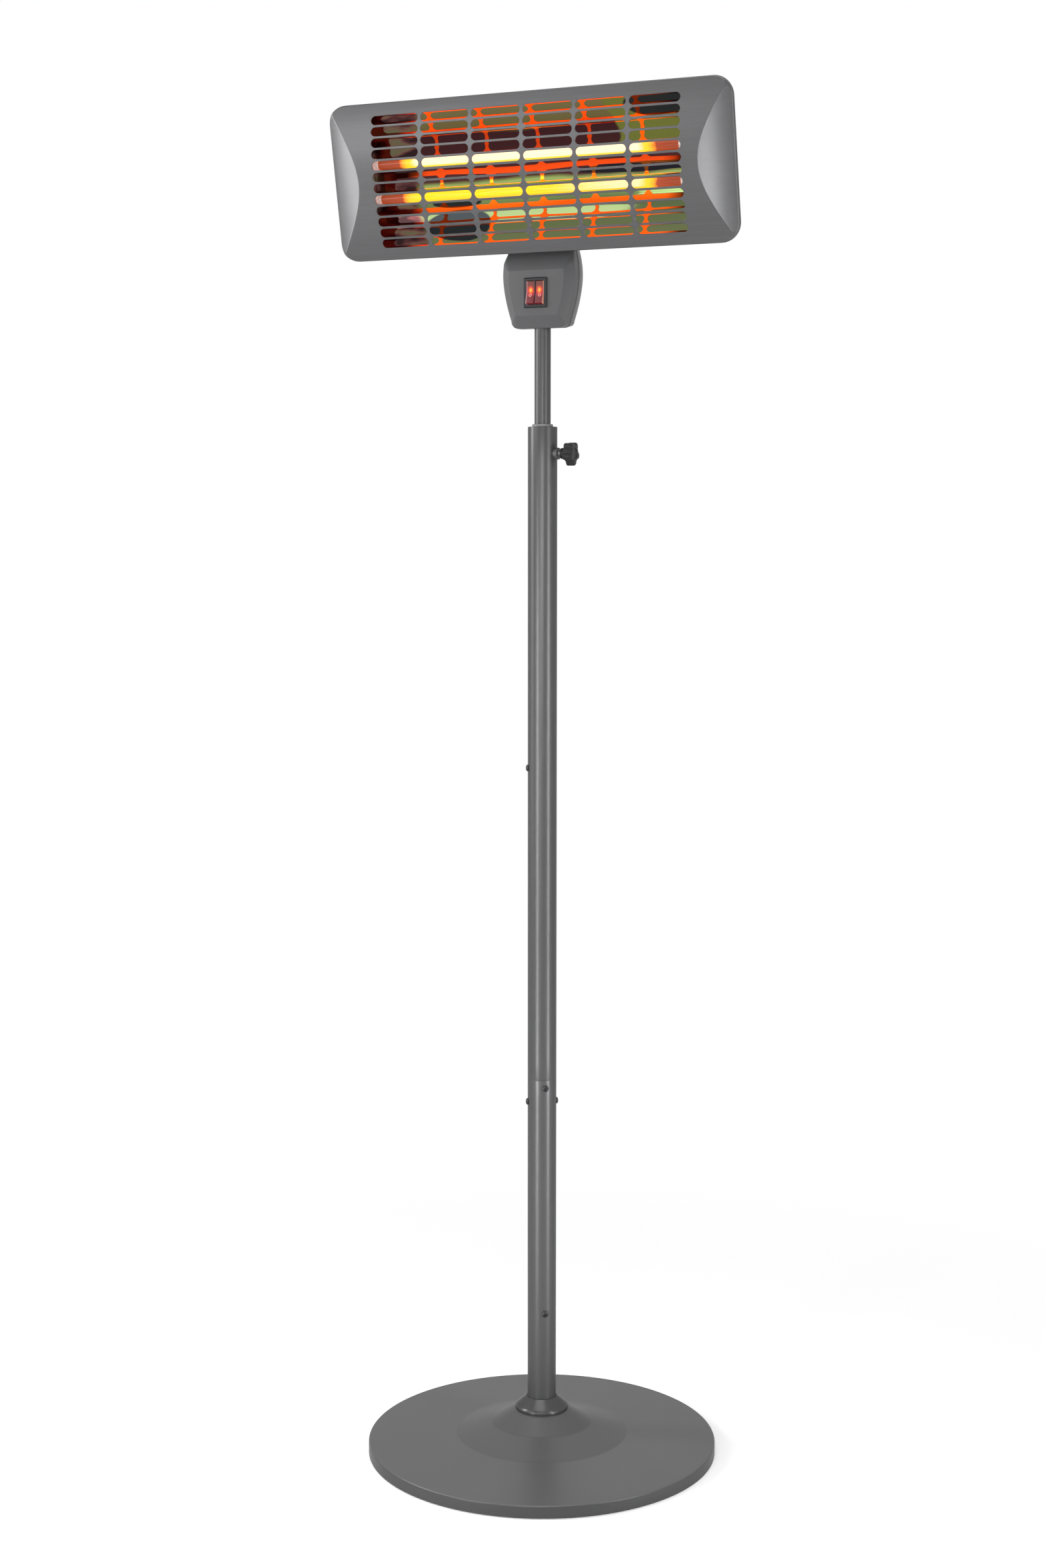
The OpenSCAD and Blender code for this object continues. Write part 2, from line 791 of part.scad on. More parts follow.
// Right half of the box outline from its foot up to top, shrunk by in, as [x, height] points
function box_outline_half(in, top) =
  let (low = box_half_w(box_corner_r) - box_corner_r,
       high = box_half_w(top - box_corner_r) - box_corner_r,
       r = max(0.2, box_corner_r - in))
  concat(
    arc_points([low, box_corner_r], r, -90, 0, 5),
    [for (i = [1 : box_side_steps - 1])
      let (h = box_corner_r + (top - 2 * box_corner_r) * i / box_side_steps)
      [box_half_w(h) - in, h]],
    arc_points([high, top - box_corner_r], r, 0, 90, 5));

function mirrored(points) = [for (p = reversed(points)) [-p[0], p[1]]];

// A slab with the outline's shape, standing in the XZ plane between y0 and y1
module box_slab(in, y0, y1, top = box_h) {
  half = box_outline_half(in, top);
  translate([0, y1, box_z])
    rotate([90, 0, 0])
      linear_extrude(y1 - y0)
        polygon(concat(half, mirrored(half)));
}

// The flat front panel's outline, shrunk by in
module panel_outline(in) {
  rows = 8;
  half = [for (i = [0 : rows])
    let (h = panel_bottom + in + (panel_top - panel_bottom - 2 * in) * i / rows)
    [box_half_w(h) - bevel_w - in, h]];
  polygon(concat(half, mirrored(half)));
}

// Front half of the box as a solid up to y1, shrunk by in, with its bevelled face
module box_front_solid(in, y1) {
  hull() {
    box_slab(in, -2, y1);
    box_slab(in, -box_front_d + bevel_d, 0, shoulder_h);
    translate([0, -box_front_d + in + 0.01, box_z])
      rotate([90, 0, 0])
        linear_extrude(0.01)
          panel_outline(in * 0.6);
  }
}

// Rear half of the box as a solid from y0, shrunk by in, drawn in towards a bevelled back
module box_rear_solid(in, y0) {
  bevel_y = box_back_d - back_bevel;
  bevel_in = in + rear_draft;
  hull() {
    box_slab(in, y0, 0.5);
    box_slab(bevel_in, bevel_y - 0.5, bevel_y);
    box_slab(bevel_in + back_bevel_in, bevel_y, box_back_d - in);
  }
}

module shell_post_places() {
  for (sx = [-1, 1])
    for (post = shell_posts)
      translate([sx * post[0], 0, post[1]])
        children();
}

module box_mouth() {
  translate([-box_mouth_w, box_mouth_front, box_z + box_h - 4 * box_wall])
    cube([2 * box_mouth_w, box_back_d - box_wall - 1.5 - box_mouth_front, 5 * box_wall]);
}

module mast_hole() {
  translate([0, 0, box_z - cut]) cylinder(r = mast_r + loose_fit, h = 3 * box_wall);
}

module box_front_shell() {
  color(box_grey)
    difference() {
      union() {
        difference() {
          box_front_solid(0, 0);
          box_front_solid(box_wall, cut);
        }
        intersection() {
          box_front_solid(1, 0);
          shell_post_places() y_rod(shell_post_r, -box_front_d, 0);
        }
      }
      shell_post_places() y_rod(shell_post_bore_r, -box_front_d / 2, cut);
      mast_hole();
      box_mouth();
      translate([-bezel_w / 2 + 1.5, -box_front_d - cut, switch_z - bezel_h / 2 + 1.5])
        cube([bezel_w - 3, box_front_d / 2, bezel_h - 3]);
    }
}

module box_rear_shell() {
  color(box_grey)
    difference() {
      union() {
        difference() {
          box_rear_solid(0, 0);
          box_rear_solid(box_wall, -cut);
        }
        intersection() {
          box_rear_solid(1, 0);
          shell_post_places() y_rod(shell_post_r, 0, box_back_d);
        }
      }
      shell_post_places() {
        y_rod(shell_post_bore_r, -cut, box_back_d);
        y_rod(3.2, 6, box_back_d + cut);
      }
      mast_hole();
      box_mouth();
      translate([gland_x, 0, gland_z]) y_rod(gland_thread_r + run_fit, 5, box_back_d + cut);
    }
}

module box_screws() {
  color(plastic_black)
    shell_post_places()
      translate([0, 6, 0])
        back_screw(2.9, 2.2, 1.5, 14);
}

// ---------------------------------------------------------------- switch

bezel_y = -box_front_d - bezel_t;           // front face of the bezel
pivot_y = bezel_y + 3.5;                    // axis on which the rockers swing
rocker_room_h = bezel_h - 2 * bezel_border;
rocker_r = rocker_room_h / 2 - 0.4;
rocker_room_w = (bezel_w - 2 * bezel_border - bezel_bar) / 2;
rocker_w = rocker_room_w - 0.6;
rocker_x = (rocker_room_w + bezel_bar) / 2;
rocker_back = 5.5;                          // depth of the rocker behind its axis
rocker_stub_r = 1.4;
rocker_stub_len = bezel_bar / 2 - 0.1;
rocker_recess = 0.8;                        // how far the pressed half lies behind the bezel

module switch_housing() {
  room_back_y = pivot_y + rocker_back + rocker_r * sin(rocker_swing) + 0.6;
  color(plastic_black)
    translate([0, 0, switch_z])
      difference() {
        union() {
          translate([-bezel_w / 2, bezel_y, -bezel_h / 2])
            cube([bezel_w, bezel_t - 0.02, bezel_h]);
          translate([-bezel_w / 2 + 2, bezel_y, -bezel_h / 2 + 2])
            cube([bezel_w - 4, bezel_t + switch_d, bezel_h - 4]);
        }
        for (sx = [-1, 1])
          translate([sx * rocker_x, 0, 0]) {
            translate([-rocker_room_w / 2, bezel_y - cut, -rocker_room_h / 2])
              cube([rocker_room_w, room_back_y - bezel_y + cut, rocker_room_h]);
            translate([0, pivot_y, 0])
              x_rod(rocker_stub_r + run_fit,
                    -(rocker_room_w + bezel_bar) / 2,
                    (rocker_room_w + bezel_bar) / 2);
          }
      }
}

// One rocker with its pivot stubs, stored in its on position with the upper half pressed in
module rocker(x) {
  face_y = bezel_y + rocker_recess - pivot_y;
  end = rocker_r + cut;
  stub_end = rocker_room_w / 2 + rocker_stub_len;
  color(lit_red)
    translate([x, pivot_y, switch_z]) {
      intersection() {
        x_rod(rocker_r, -rocker_w / 2, rocker_w / 2);
        translate([-rocker_w / 2, 0, 0])
          rotate([90, 0, 90])
            linear_extrude(rocker_w)
              polygon([
                [face_y, end],
                [face_y, 0],
                [face_y - end * tan(rocker_swing), -end],
                [rocker_back, -end],
                [rocker_back, end]
              ]);
      }
      x_rod(rocker_stub_r, -stub_end, stub_end);
    }
}

module rocker_left() { rocker(-rocker_x); }

module rocker_right() { rocker(rocker_x); }

module switch_blades() {
  blade_y = bezel_y + bezel_t + switch_d;
  color([0.80, 0.66, 0.35])
    for (sx = [-1, 1])
      for (sz = [-1, 0, 1])
        translate([sx * rocker_x - 2.4, blade_y, switch_z + sz * 10 - 0.4])
          cube([4.8, 7, 0.8]);
}

// ---------------------------------------------------------------- inside the box

module terminal_block() {
  block_w = 26;
  color(ceramic_white)
    difference() {
      translate([-block_w / 2, web_y + bracket_t, box_z + 30])
        cube([block_w, 11, 14]);
      for (i = [-1 : 1])
        translate([i * 8, web_y + bracket_t + 5, box_z + 29])
          cylinder(r = 1.8, h = 16);
    }
}

module tip_switch() {
  color(plastic_black)
    translate([-ear_out_x - 16, 6, box_z + 34]) {
      cube([16, 14, 18]);
      translate([8, 7, 18]) cylinder(r = 3, h = 2);
    }
}

module cable_gland() {
  color(plastic_black)
    translate([gland_x, box_back_d, gland_z])
      difference() {
        union() {
          y_rod(gland_thread_r, -gland_thread_in, 0.5);
          rotate([-90, 0, 0]) cylinder(r = gland_hex_r, h = gland_hex_t, $fn = 6);
          y_rod(gland_dome_r, gland_hex_t - 0.1, gland_out - 3);
          translate([0, gland_out - 3, 0])
            rotate([-90, 0, 0])
              cylinder(r1 = gland_dome_r, r2 = gland_bore_r + 1.6, h = 3);
        }
        y_rod(gland_bore_r, -gland_thread_in - cut, gland_out + cut);
      }
}

module gland_nut() {
  nut_y = box_back_d - box_wall - 4;
  color(plastic_black)
    translate([gland_x, nut_y - 0.05, gland_z])
      difference() {
        rotate([-90, 0, 0]) cylinder(r = 9, h = 4, $fn = 6);
        y_rod(gland_thread_r + run_fit, -cut, 4 + cut);
      }
}

// ---------------------------------------------------------------- tilt hinge

module hinge_axis() {
  translate([0, hinge_y, hinge_z]) children();
}

module hinge_bolt() {
  color(zinc)
    hinge_axis() {
      x_rod(hinge_bolt_r, -arm_out_x - 0.1, arm_out_x + 9);
      rotate([0, -90, 0])
        translate([0, 0, arm_out_x + 0.1])
          cylinder(r = hinge_head_r, h = hinge_head_h, $fn = 6);
    }
}

module hinge_nut() {
  color(zinc)
    hinge_axis()
      difference() {
        translate([arm_out_x + 0.1, 0, 0])
          rotate([0, 90, 0])
            cylinder(r = hinge_head_r, h = 7, $fn = 6);
        x_rod(hinge_bolt_r + run_fit, arm_out_x - cut, arm_out_x + 8);
      }
}

module friction_washers() {
  color(plastic_black)
    hinge_axis()
      for (sx = [-1, 1])
        translate([sx * (ear_out_x + friction_washer_t / 2), 0, 0])
          difference() {
            x_rod(arm_half_w, -friction_washer_t / 2, friction_washer_t / 2);
            x_rod(hinge_bolt_r + run_fit, -friction_washer_t, friction_washer_t);
          }
}

// Outline of one head bracket arm in the head's own (y, z) frame
module arm_outline() {
  hy = hinge_local[0];
  hz = hinge_local[1];
  top_front = housing_d + 0.1;
  lean = atan2(arm_back_y - arm_half_w - hy, arm_web_bottom - hz);
  side = [arm_half_w * cos(lean), -arm_half_w * sin(lean)];
  polygon([
    [top_front, arm_web_top],
    [arm_back_y, arm_web_top],
    [arm_back_y, arm_web_bottom],
    [hy + side[0], hz + side[1]],
    [hy - side[0], hz - side[1]],
    [top_front, arm_web_bottom]
  ]);
  translate([hy, hz]) circle(r = arm_half_w);
}

module head_bracket() {
  color(zinc)
    difference() {
      union() {
        place_head() {
          for (x = [arm_x, -arm_out_x])
            translate([x, 0, 0])
              rotate([90, 0, 90])
                linear_extrude(arm_t)
                  arm_outline();
          translate([-arm_out_x, housing_d + 0.1, arm_web_bottom])
            cube([2 * arm_out_x, arm_web_t, arm_web_top - arm_web_bottom]);
        }
      }
      hinge_axis() x_rod(hinge_bolt_r + run_fit, -arm_out_x - cut, arm_out_x + cut);
      place_head() bracket_screw_places() y_rod(2.05, housing_d - cut, housing_d + 4);
    }
}

module bracket_screw_places() {
  for (sx = [-1, 1])
    for (z = [arm_web_top - 8, arm_web_bottom + 8])
      translate([sx * 9, 0, z])
        children();
}

module bracket_screws() {
  color(zinc)
    place_head()
      bracket_screw_places()
        translate([0, housing_d + 0.1 + arm_web_t, 0])
          back_screw(3.8, 2.4, 2, arm_web_t + housing_t + 3);
}

// ---------------------------------------------------------------- head

// Rounded rectangle in the XZ plane with half sizes w and h
module rounded_rect(w, h, r) {
  for (sz = [-1, 1])
    for (sx = [-1, 1])
      translate([sx * (w - r), sz * (h - r)]) circle(r = r);
  square([2 * (w - r), 2 * h], center = true);
  square([2 * w, 2 * (h - r)], center = true);
}

// A slab with a rounded outline shrunk by in, between y0 and y1 of the head's frame
module head_slab(in, y0, y1) {
  translate([0, y1, 0])
    rotate([90, 0, 0])
      linear_extrude(y1 - y0)
        rounded_rect(head_w / 2 - in, head_h / 2 - in, head_corner_r - in);
}

// Everything behind the bowed face and its scooped ends, both set back by in
module face_solid(in, y1) {
  intersection() {
    translate([0, bow_r - bow, 0])
      x_rod(bow_r - in, -head_w, head_w, $fn = 256);
    translate([0, 0, -head_h])
      linear_extrude(2 * head_h)
        face_plan(in, y1);
  }
}

// Plan of the face: straight in the middle, a slight bulge over each scooped end
module face_plan(in, y1) {
  straight = head_w / 2 - facet_len;
  translate([-straight, -bow - cut]) square([2 * straight, bow + cut + y1]);
  for (sx = [0, 1])
    mirror([sx, 0])
      intersection() {
        translate(facet_centre) circle(r = facet_r - in, $fn = 256);
        translate([straight - cut, -bow - cut]) square([facet_len + 2 * cut, bow + cut + y1]);
      }
}

module slot_row() {
  for (i = [0 : slot_cols - 1])
    translate([(i - (slot_cols - 1) / 2) * slot_pitch_x, 0]) {
      square([slot_len - slot_h, slot_h], center = true);
      for (sx = [-1, 1])
        translate([sx * (slot_len - slot_h) / 2, 0]) circle(r = slot_h / 2, $fn = 32);
    }
}

module slots() {
  for (j = [0 : slot_rows - 1]) {
    along = (j - (slot_rows - 1) / 2) * slot_pitch_z;
    translate([0, bow_r - bow, 0])
      rotate([-along / bow_r * 180 / PI, 0, 0])
        translate([0, -bow_r + 3 * grille_t, 0])
          rotate([90, 0, 0])
            linear_extrude(5 * grille_t)
              slot_row();
  }
}

module front_grille() {
  lip_y = skirt_d - grille_t;
  color(paint_grey)
    place_head()
      difference() {
        intersection() {
          face_solid(0, skirt_d);
          head_slab(0, -bow - cut, skirt_d);
        }
        intersection() {
          face_solid(grille_t, lip_y);
          head_slab(grille_t, -bow - cut, lip_y);
        }
        head_slab(lip_w, 0, skirt_d + cut);
        slots();
        housing_screw_places() y_rod(1.6, lip_y - cut, skirt_d + cut);
      }
}

module housing_screw_places() {
  for (x = housing_screw_xs)
    for (sz = [-1, 1])
      translate([x, 0, sz * (head_h / 2 - lip_w / 2 - 1)])
        children();
}

module tub_slab(w, h, r, y0) {
  translate([0, y0 + 0.1, 0])
    rotate([90, 0, 0])
      linear_extrude(0.1)
        rounded_rect(w, h, r);
}

// The housing's tapered tub as a solid, its walls moved in by in
module tub_solid(in, y0, y1) {
  hull() {
    tub_slab(tub_half_w - in, tub_half_h - in, tub_corner_r - in, y0, $fn = 32);
    tub_slab(tub_back_w - in, tub_back_h - in, tub_back_corner_r - in, y1 - 0.1, $fn = 32);
  }
}

module rear_housing() {
  color(paint_grey)
    place_head()
      difference() {
        union() {
          head_slab(flange_edge, flange_y, flange_y + housing_t);
          tub_solid(0, flange_y, housing_d);
        }
        tub_solid(housing_t, flange_y - 0.1, back_inner_y);
        for (sx = [-1, 1])
          for (i = [0 : vent_count - 1])
            translate([sx * vent_x - vent_len / 2, housing_d - 3 * housing_t,
                       (i - (vent_count - 1) / 2) * vent_pitch - vent_h / 2])
              cube([vent_len, 5 * housing_t, vent_h]);
        housing_screw_places() y_rod(1.85, flange_y - cut, flange_y + housing_t + cut);
        bracket_screw_places() y_rod(2.05, back_inner_y - cut, housing_d + cut);
      }
}

module housing_screws() {
  color(zinc)
    place_head()
      housing_screw_places()
        translate([0, flange_y + housing_t, 0])
          back_screw(3.3, 2, 1.5, housing_t + 2.6);
}

// ---------------------------------------------------------------- reflector and elements

// Upper half of the reflector's cross-section in (y, z), from its middle ridge to its edge
function reflector_half() =
  [[reflector_d - 2.5, 0],
   [reflector_d, 10],
   [reflector_d + 0.5, element_z],
   [reflector_d - 0.6, element_z + 14],
   [reflector_d - 3.0, element_z + 28],
   [reflector_d - 6.2, element_z + 42],
   [reflector_edge_y, reflector_edge_z - 6],
   [reflector_edge_y, reflector_edge_z]];

module reflector() {
  half = reflector_half();
  front = concat([for (p = reversed(half)) [p[0], -p[1]]],
                 [for (i = [1 : len(half) - 1]) half[i]]);
  back = [for (p = reversed(front)) [p[0] + reflector_t, p[1]]];
  reflector_x = element_plate_x - 0.5;
  color(mirror_metal)
    place_head()
      translate([-reflector_x, 0, 0])
        rotate([90, 0, 90])
          linear_extrude(2 * reflector_x)
            polygon(concat(front, back));
}

// Element plate on the +X side; the other one is its mirror image
module element_plate() {
  front_y = element_y - cap_r - 1;
  place_head()
    difference() {
      union() {
        translate([element_plate_x, front_y, -element_plate_h / 2])
          cube([element_plate_t, back_inner_y - front_y, element_plate_h]);
        translate([element_plate_x - element_foot_w, back_inner_y - element_plate_t,
                   -element_plate_h / 2])
          cube([element_foot_w + 0.1, element_plate_t, element_plate_h]);
      }
      for (sz = [-1, 1])
        translate([0, element_y, sz * element_z])
          x_rod(cap_r + run_fit, element_plate_x - cut, element_plate_x + element_plate_t + cut);
    }
}

module element_plate_left() {
  color(zinc) mirror([1, 0, 0]) element_plate();
}

module element_plate_right() {
  color(zinc) element_plate();
}

module ceramic_caps() {
  color(ceramic_white)
    place_head()
      for (sx = [0, 1])
        mirror([sx, 0, 0])
          for (sz = [-1, 1])
            translate([0, element_y, sz * element_z])
              difference() {
                x_rod(cap_r, cap_x, cap_x + cap_len);
                x_rod(quartz_r + run_fit, cap_x - cut, quartz_half + run_fit);
              }
}

module quartz_tube(side) {
  color([0.90, 0.92, 0.95, 0.5])
    place_head()
      translate([0, element_y, side * element_z])
        difference() {
          x_rod(quartz_r, -quartz_half, quartz_half);
          x_rod(quartz_r - quartz_wall, -quartz_half - cut, quartz_half + cut);
        }
}

module heating_coil(side) {
  color(glow_yellow)
    place_head()
      translate([0, element_y, side * element_z]) {
        difference() {
          x_rod(coil_r, -coil_half, coil_half);
          x_rod(coil_bore_r, -coil_half + 1, coil_half - 1);
        }
        for (sx = [0, 1])
          mirror([sx, 0, 0])
            x_rod(1.2, coil_half, quartz_half);
      }
}

module quartz_tube_upper() { quartz_tube(1); }

module quartz_tube_lower() { quartz_tube(-1); }

module heating_coil_upper() { heating_coil(1); }

module heating_coil_lower() { heating_coil(-1); }

module thermal_cutout() {
  color(plastic_black)
    place_head()
      translate([vent_x / 2, 0, 0]) {
        y_rod(8, back_inner_y - 7, back_inner_y);
        translate([-5, back_inner_y - 14, -1]) cube([10, 8, 2]);
      }
}

module head_terminals() {
  block_w = 40;
  color(ceramic_white)
    place_head()
      difference() {
        translate([-block_w / 2, back_inner_y - 14, 2]) cube([block_w, 14, 16]);
        for (i = [-1 : 1])
          translate([i * 12, back_inner_y - 8, 1]) cylinder(r = 2, h = 18);
      }
}

// ---------------------------------------------------------------- assembly

rubber_feet();
bottom_plate();
plate_screws();
base_weight();
base_cover();
spigot_tube();
spigot_bolt();
spigot_washer();
pole_collar();
lower_tube();
foot_screw();
joint_sleeve();
joint_screws();
upper_tube();
stop_screw();
top_bush();
knob_boss();
clamp_pad();
clamp_stud();
clamp_knob();
mast_guide();
mast_tube();
mast_bracket();
mast_screws();
box_front_shell();
box_rear_shell();
box_screws();
switch_housing();
rocker_left();
rocker_right();
switch_blades();
terminal_block();
tip_switch();
cable_gland();
gland_nut();
hinge_bolt();
hinge_nut();
friction_washers();
head_bracket();
bracket_screws();
rear_housing();
front_grille();
housing_screws();
reflector();
element_plate_left();
element_plate_right();
ceramic_caps();
quartz_tube_upper();
quartz_tube_lower();
heating_coil_upper();
heating_coil_lower();
thermal_cutout();
head_terminals();
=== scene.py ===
"""Finishes and fine shapes of an infrared patio heater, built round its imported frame.

The pole's axis is x = y = 0, +Z is up and the heater's face looks towards -Y. Sizes are written in
millimetres and become metres where a mesh is made. Pieces are surfaces of two parameters, worked
out as whole arrays.
"""
import json
from math import asin, cos, degrees, hypot, pi, radians, sin, tan

import bmesh
import bpy
import numpy as np
from mathutils import Matrix, Vector
from numpy import clip, column_stack, concatenate, full, linspace, stack


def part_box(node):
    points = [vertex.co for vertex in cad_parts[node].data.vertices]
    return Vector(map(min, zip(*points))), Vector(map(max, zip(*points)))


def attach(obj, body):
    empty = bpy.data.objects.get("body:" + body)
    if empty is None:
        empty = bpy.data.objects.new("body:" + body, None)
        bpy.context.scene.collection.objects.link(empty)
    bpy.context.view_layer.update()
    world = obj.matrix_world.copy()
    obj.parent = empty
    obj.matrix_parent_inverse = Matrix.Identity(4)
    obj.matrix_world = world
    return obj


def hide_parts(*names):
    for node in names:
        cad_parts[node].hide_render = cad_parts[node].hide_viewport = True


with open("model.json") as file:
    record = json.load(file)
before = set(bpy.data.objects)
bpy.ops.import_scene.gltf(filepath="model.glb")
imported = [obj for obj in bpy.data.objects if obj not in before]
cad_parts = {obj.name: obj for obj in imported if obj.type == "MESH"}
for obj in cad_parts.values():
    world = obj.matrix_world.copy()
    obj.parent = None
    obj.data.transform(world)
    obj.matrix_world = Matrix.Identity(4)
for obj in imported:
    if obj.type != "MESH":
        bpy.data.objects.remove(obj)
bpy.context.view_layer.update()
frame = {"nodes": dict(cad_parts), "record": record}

MM = 0.001


def corners(node):
    """Lowest and highest corner of a CAD node at rest, in millimetres."""
    low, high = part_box(node)
    return np.array(low) / MM, np.array(high) / MM


# --- sizes in millimetres

# Base
base_low, base_high = corners("base_cover")
base_r, base_foot = base_high[0], base_low[2]
rim_h, rim_edge = 19.0, 2.5
hill_r, hill_h = 120.0, 27.0
hill_bend, hill_bend_rise = 0.61, 0.455
land_r, land_h = 38.0, base_high[2]
cover_t = 1.2
collar_low, collar_high = corners("pole_collar")
collar_edge_h, collar_top_r = 2.0, 21.4
collar_lip = ((1, 0), (0.985, 0.11), (0.93, 0.22), (0, 1))
# Painted shade on the base cover: width of the two steps on the hill, the inner step's radius, and
# the height under which the rim wall is darker
shade_step, inner_shade_r, rim_shade_z = 1.5, 70.0, 17.5

# Pole and mast
pole_foot, joint_z = [corner[2] for corner in corners("lower_tube")]
pole_r, pole_top = corners("upper_tube")[1][[0, 2]]
mast_low, mast_high = corners("mast_tube")
mast_r = mast_high[0]
pole_wall, mast_wall = 1.5, 1.3
screw_head_r, screw_head_h, screw_shank_r = 4.6, 2.8, 2.1
front_screw_turn, side_screw_turn = 38.0, -54.0
foot_screw_z, stop_screw_z = 203.0, 972.0
front_joint_drop, side_joint_drop = 11.0, 33.0
tube_row = 25.0

# Clamp knob
knob_low, knob_high = corners("clamp_knob")
clamp_z = 1400.0
knob_core_r, knob_lobe_r, knob_r = 12.6, 4.4, 16.5
knob_lobes, knob_turn = 5, -14.0
knob_hub_r, knob_hub_len = 7.5, 8.0

# Control box
box_z, box_top = [corner[2] for corner in corners("box_front_shell")]
box_h = box_top - box_z
box_foot_w, box_belly_w, box_head_w = 37.0, 53.0, 45.0
box_belly_h = 70.0
box_front_d, box_back_d = 23.0, 30.0
box_wall = 2.2
bevel_w, bevel_d = 12.0, 10.0
panel_bottom, panel_top = 16.0, 76.0
box_corner_r = 10.0
rear_draft = 3.6
back_bevel, back_bevel_in = 8.0, 4.0
mouth_w = 22.0
mouth_front, mouth_back = -4.0, 26.3
shell_posts = ((27.0, 18.0), (37.0, 92.0))
post_r, post_wall, well_r, well_y = 4.0, 2.4, 3.2, 26.5
gland_x, gland_h, gland_r = 24.0, 40.0, 6.1
cut_y = (20.0, 34.0)
seam_w = 2.6

# Switch
switch_z = box_z + 46.0
bezel_w, bezel_h, bezel_t = 34.0, 40.0, 2.4
bezel_border, bezel_bar = 4.0, 1.4
bezel_y = -box_front_d - bezel_t
rocker_room_w = (bezel_w - 2 * bezel_border - bezel_bar) / 2
rocker_x = (rocker_room_w + bezel_bar) / 2
rocker_w = rocker_room_w - 0.6
rocker_swing = radians(16.0)
rocker_r = bezel_h / 2 - bezel_border - 0.4
rocker_back = 5.5
pivot_y = bezel_y + 3.5
rocker_face_y = bezel_y + 0.8

# Head, in its own frame: x along the head, y backwards, z up the face
head_half_w, head_half_h = 291.5, 104.0
head_corner_r = 26.0
head_tilt = radians(11.0)
head_front, head_z = 47.0, 1767.0
bow = 18.0
bow_r = (head_half_h ** 2 + bow ** 2) / (2 * bow)
facet_len, facet_bulge = 46.0, 1.6
straight_half = head_half_w - facet_len
facet_chord = hypot(facet_len, bow)
facet_r = facet_chord ** 2 / (8 * facet_bulge) + facet_bulge / 2
facet_x = head_half_w - facet_len / 2 - bow / facet_chord * (facet_r - facet_bulge)
facet_y = -bow / 2 + facet_len / facet_chord * (facet_r - facet_bulge)
sheet_t = 1.2
skirt_d, lip_w = 6.7, 11.0
slot_cols, slot_rows = 6, 12
slot_len, slot_h = 70.7, 12.0
slot_pitch_x, slot_pitch_z = 75.2, 15.0
housing_d, housing_t = 50.0, 1.5
flange_y = skirt_d + 0.1
tub_w, tub_h, tub_r = 275.5, 93.0, 16.0
tub_back_w, tub_back_h, tub_back_r = 245.5, 66.0, 10.0
vent_count, vent_len, vent_h = 9, 34.0, 3.6
vent_pitch, vent_x = 8.0, 150.0
vent_centres = [(side * vent_x, (i - (vent_count - 1) / 2) * vent_pitch)
                for side in (-1, 1) for i in range(vent_count)]
element_y, element_z = -2.0, 22.7
quartz_r, quartz_wall, quartz_half = 6.5, 1.0, 238.0
coil_half, coil_r = 186.0, 4.6
cap_r, cap_x, cap_len = 9.0, 218.0, 26.0
reflector_half_w = 235.5
reflector_t = 0.8

# --- meshes


def grid_faces(rows, cols, wrap_rows=False, wrap_cols=False):
    """Quads between neighbouring points of a grid whose points are numbered row by row."""
    r = np.arange(rows if wrap_rows else rows - 1)[:, None]
    c = np.arange(cols if wrap_cols else cols - 1)[None, :]
    here, below = r * cols, (r + 1) % rows * cols
    right = (c + 1) % cols
    return stack([here + c, here + right, below + right, below + c], -1).reshape(-1, 4)


def patch(points, finish=0, wrap_rows=False, wrap_cols=False):
    """A grid of points, shaped (rows, columns, 3), as points, quads and its finish's number."""
    points = np.asarray(points, float)
    return points.reshape(-1, 3), grid_faces(*points.shape[:2], wrap_rows, wrap_cols), finish


def ring_patch(loops, closed=False):
    """Loops of points, each joined to the next, and the last to the first where it is closed."""
    return patch(stack(loops), 0, closed, True)


def sheet_patches(front, back):
    """A closed plate: a front grid, a back grid, and a strip round the edge that joins them."""
    rims = [concatenate([g[0], g[1:, -1], g[-1, -2::-1], g[-2:0:-1, 0]]) for g in (front, back)]
    return [patch(front), patch(back), ring_patch(rims)]


def circle(count):
    """Angles round a full turn."""
    return linspace(0, 2 * pi, count, endpoint=False)


def drum(loops):
    """Loops in a row, with a flat lid on both ends: the end loop joined to its middle."""
    lids = [ring_patch([loop, np.broadcast_to(loop.mean(0), loop.shape)])
            for loop in (loops[0], loops[-1])]
    return [ring_patch(loops)] + lids


def turned(profile, sides, closed=True):
    """Turns a profile of (radius, height) rows about +Z: x = r cos a, y = r sin a."""
    r, h = np.asarray(profile, float).T[:, :, None]
    a = circle(sides)[None, :]
    return ring_patch(stack([r * np.cos(a), r * np.sin(a), h + 0 * a], -1), closed)


def rounded(points, cuts, steps=5, closed=True):
    """Rounds each corner of an outline: a parabola leaves one edge and joins the next, and cuts is
    the length that it takes off each edge. A cut of 0 keeps the corner."""
    p = np.asarray(points, float)
    cuts = np.broadcast_to(np.asarray(cuts, float), len(p))
    if not closed:
        cuts = concatenate([[0], cuts[1:-1], [0]])
    to_next = np.roll(p, -1, 0) - p
    to_next /= np.maximum(np.linalg.norm(to_next, axis=1, keepdims=True), 1e-9)
    start = p - np.roll(to_next, 1, 0) * cuts[:, None]
    end = p + to_next * cuts[:, None]
    t = linspace(0, 1, steps)[None, :, None]
    curve = (1 - t) ** 2 * start[:, None] + 2 * t * (1 - t) * p[:, None] + t ** 2 * end[:, None]
    keep = np.ones(curve.shape[:2], bool)
    keep[cuts == 0, 1:] = False
    return curve[keep]


def rotation(angle, axis):
    return np.array(Matrix.Rotation(radians(angle), 3, axis))


def moved(patches, at, turn):
    """Patches turned by a 3x3 matrix and then moved."""
    return [(points @ turn.T + at, faces, finish) for points, faces, finish in patches]


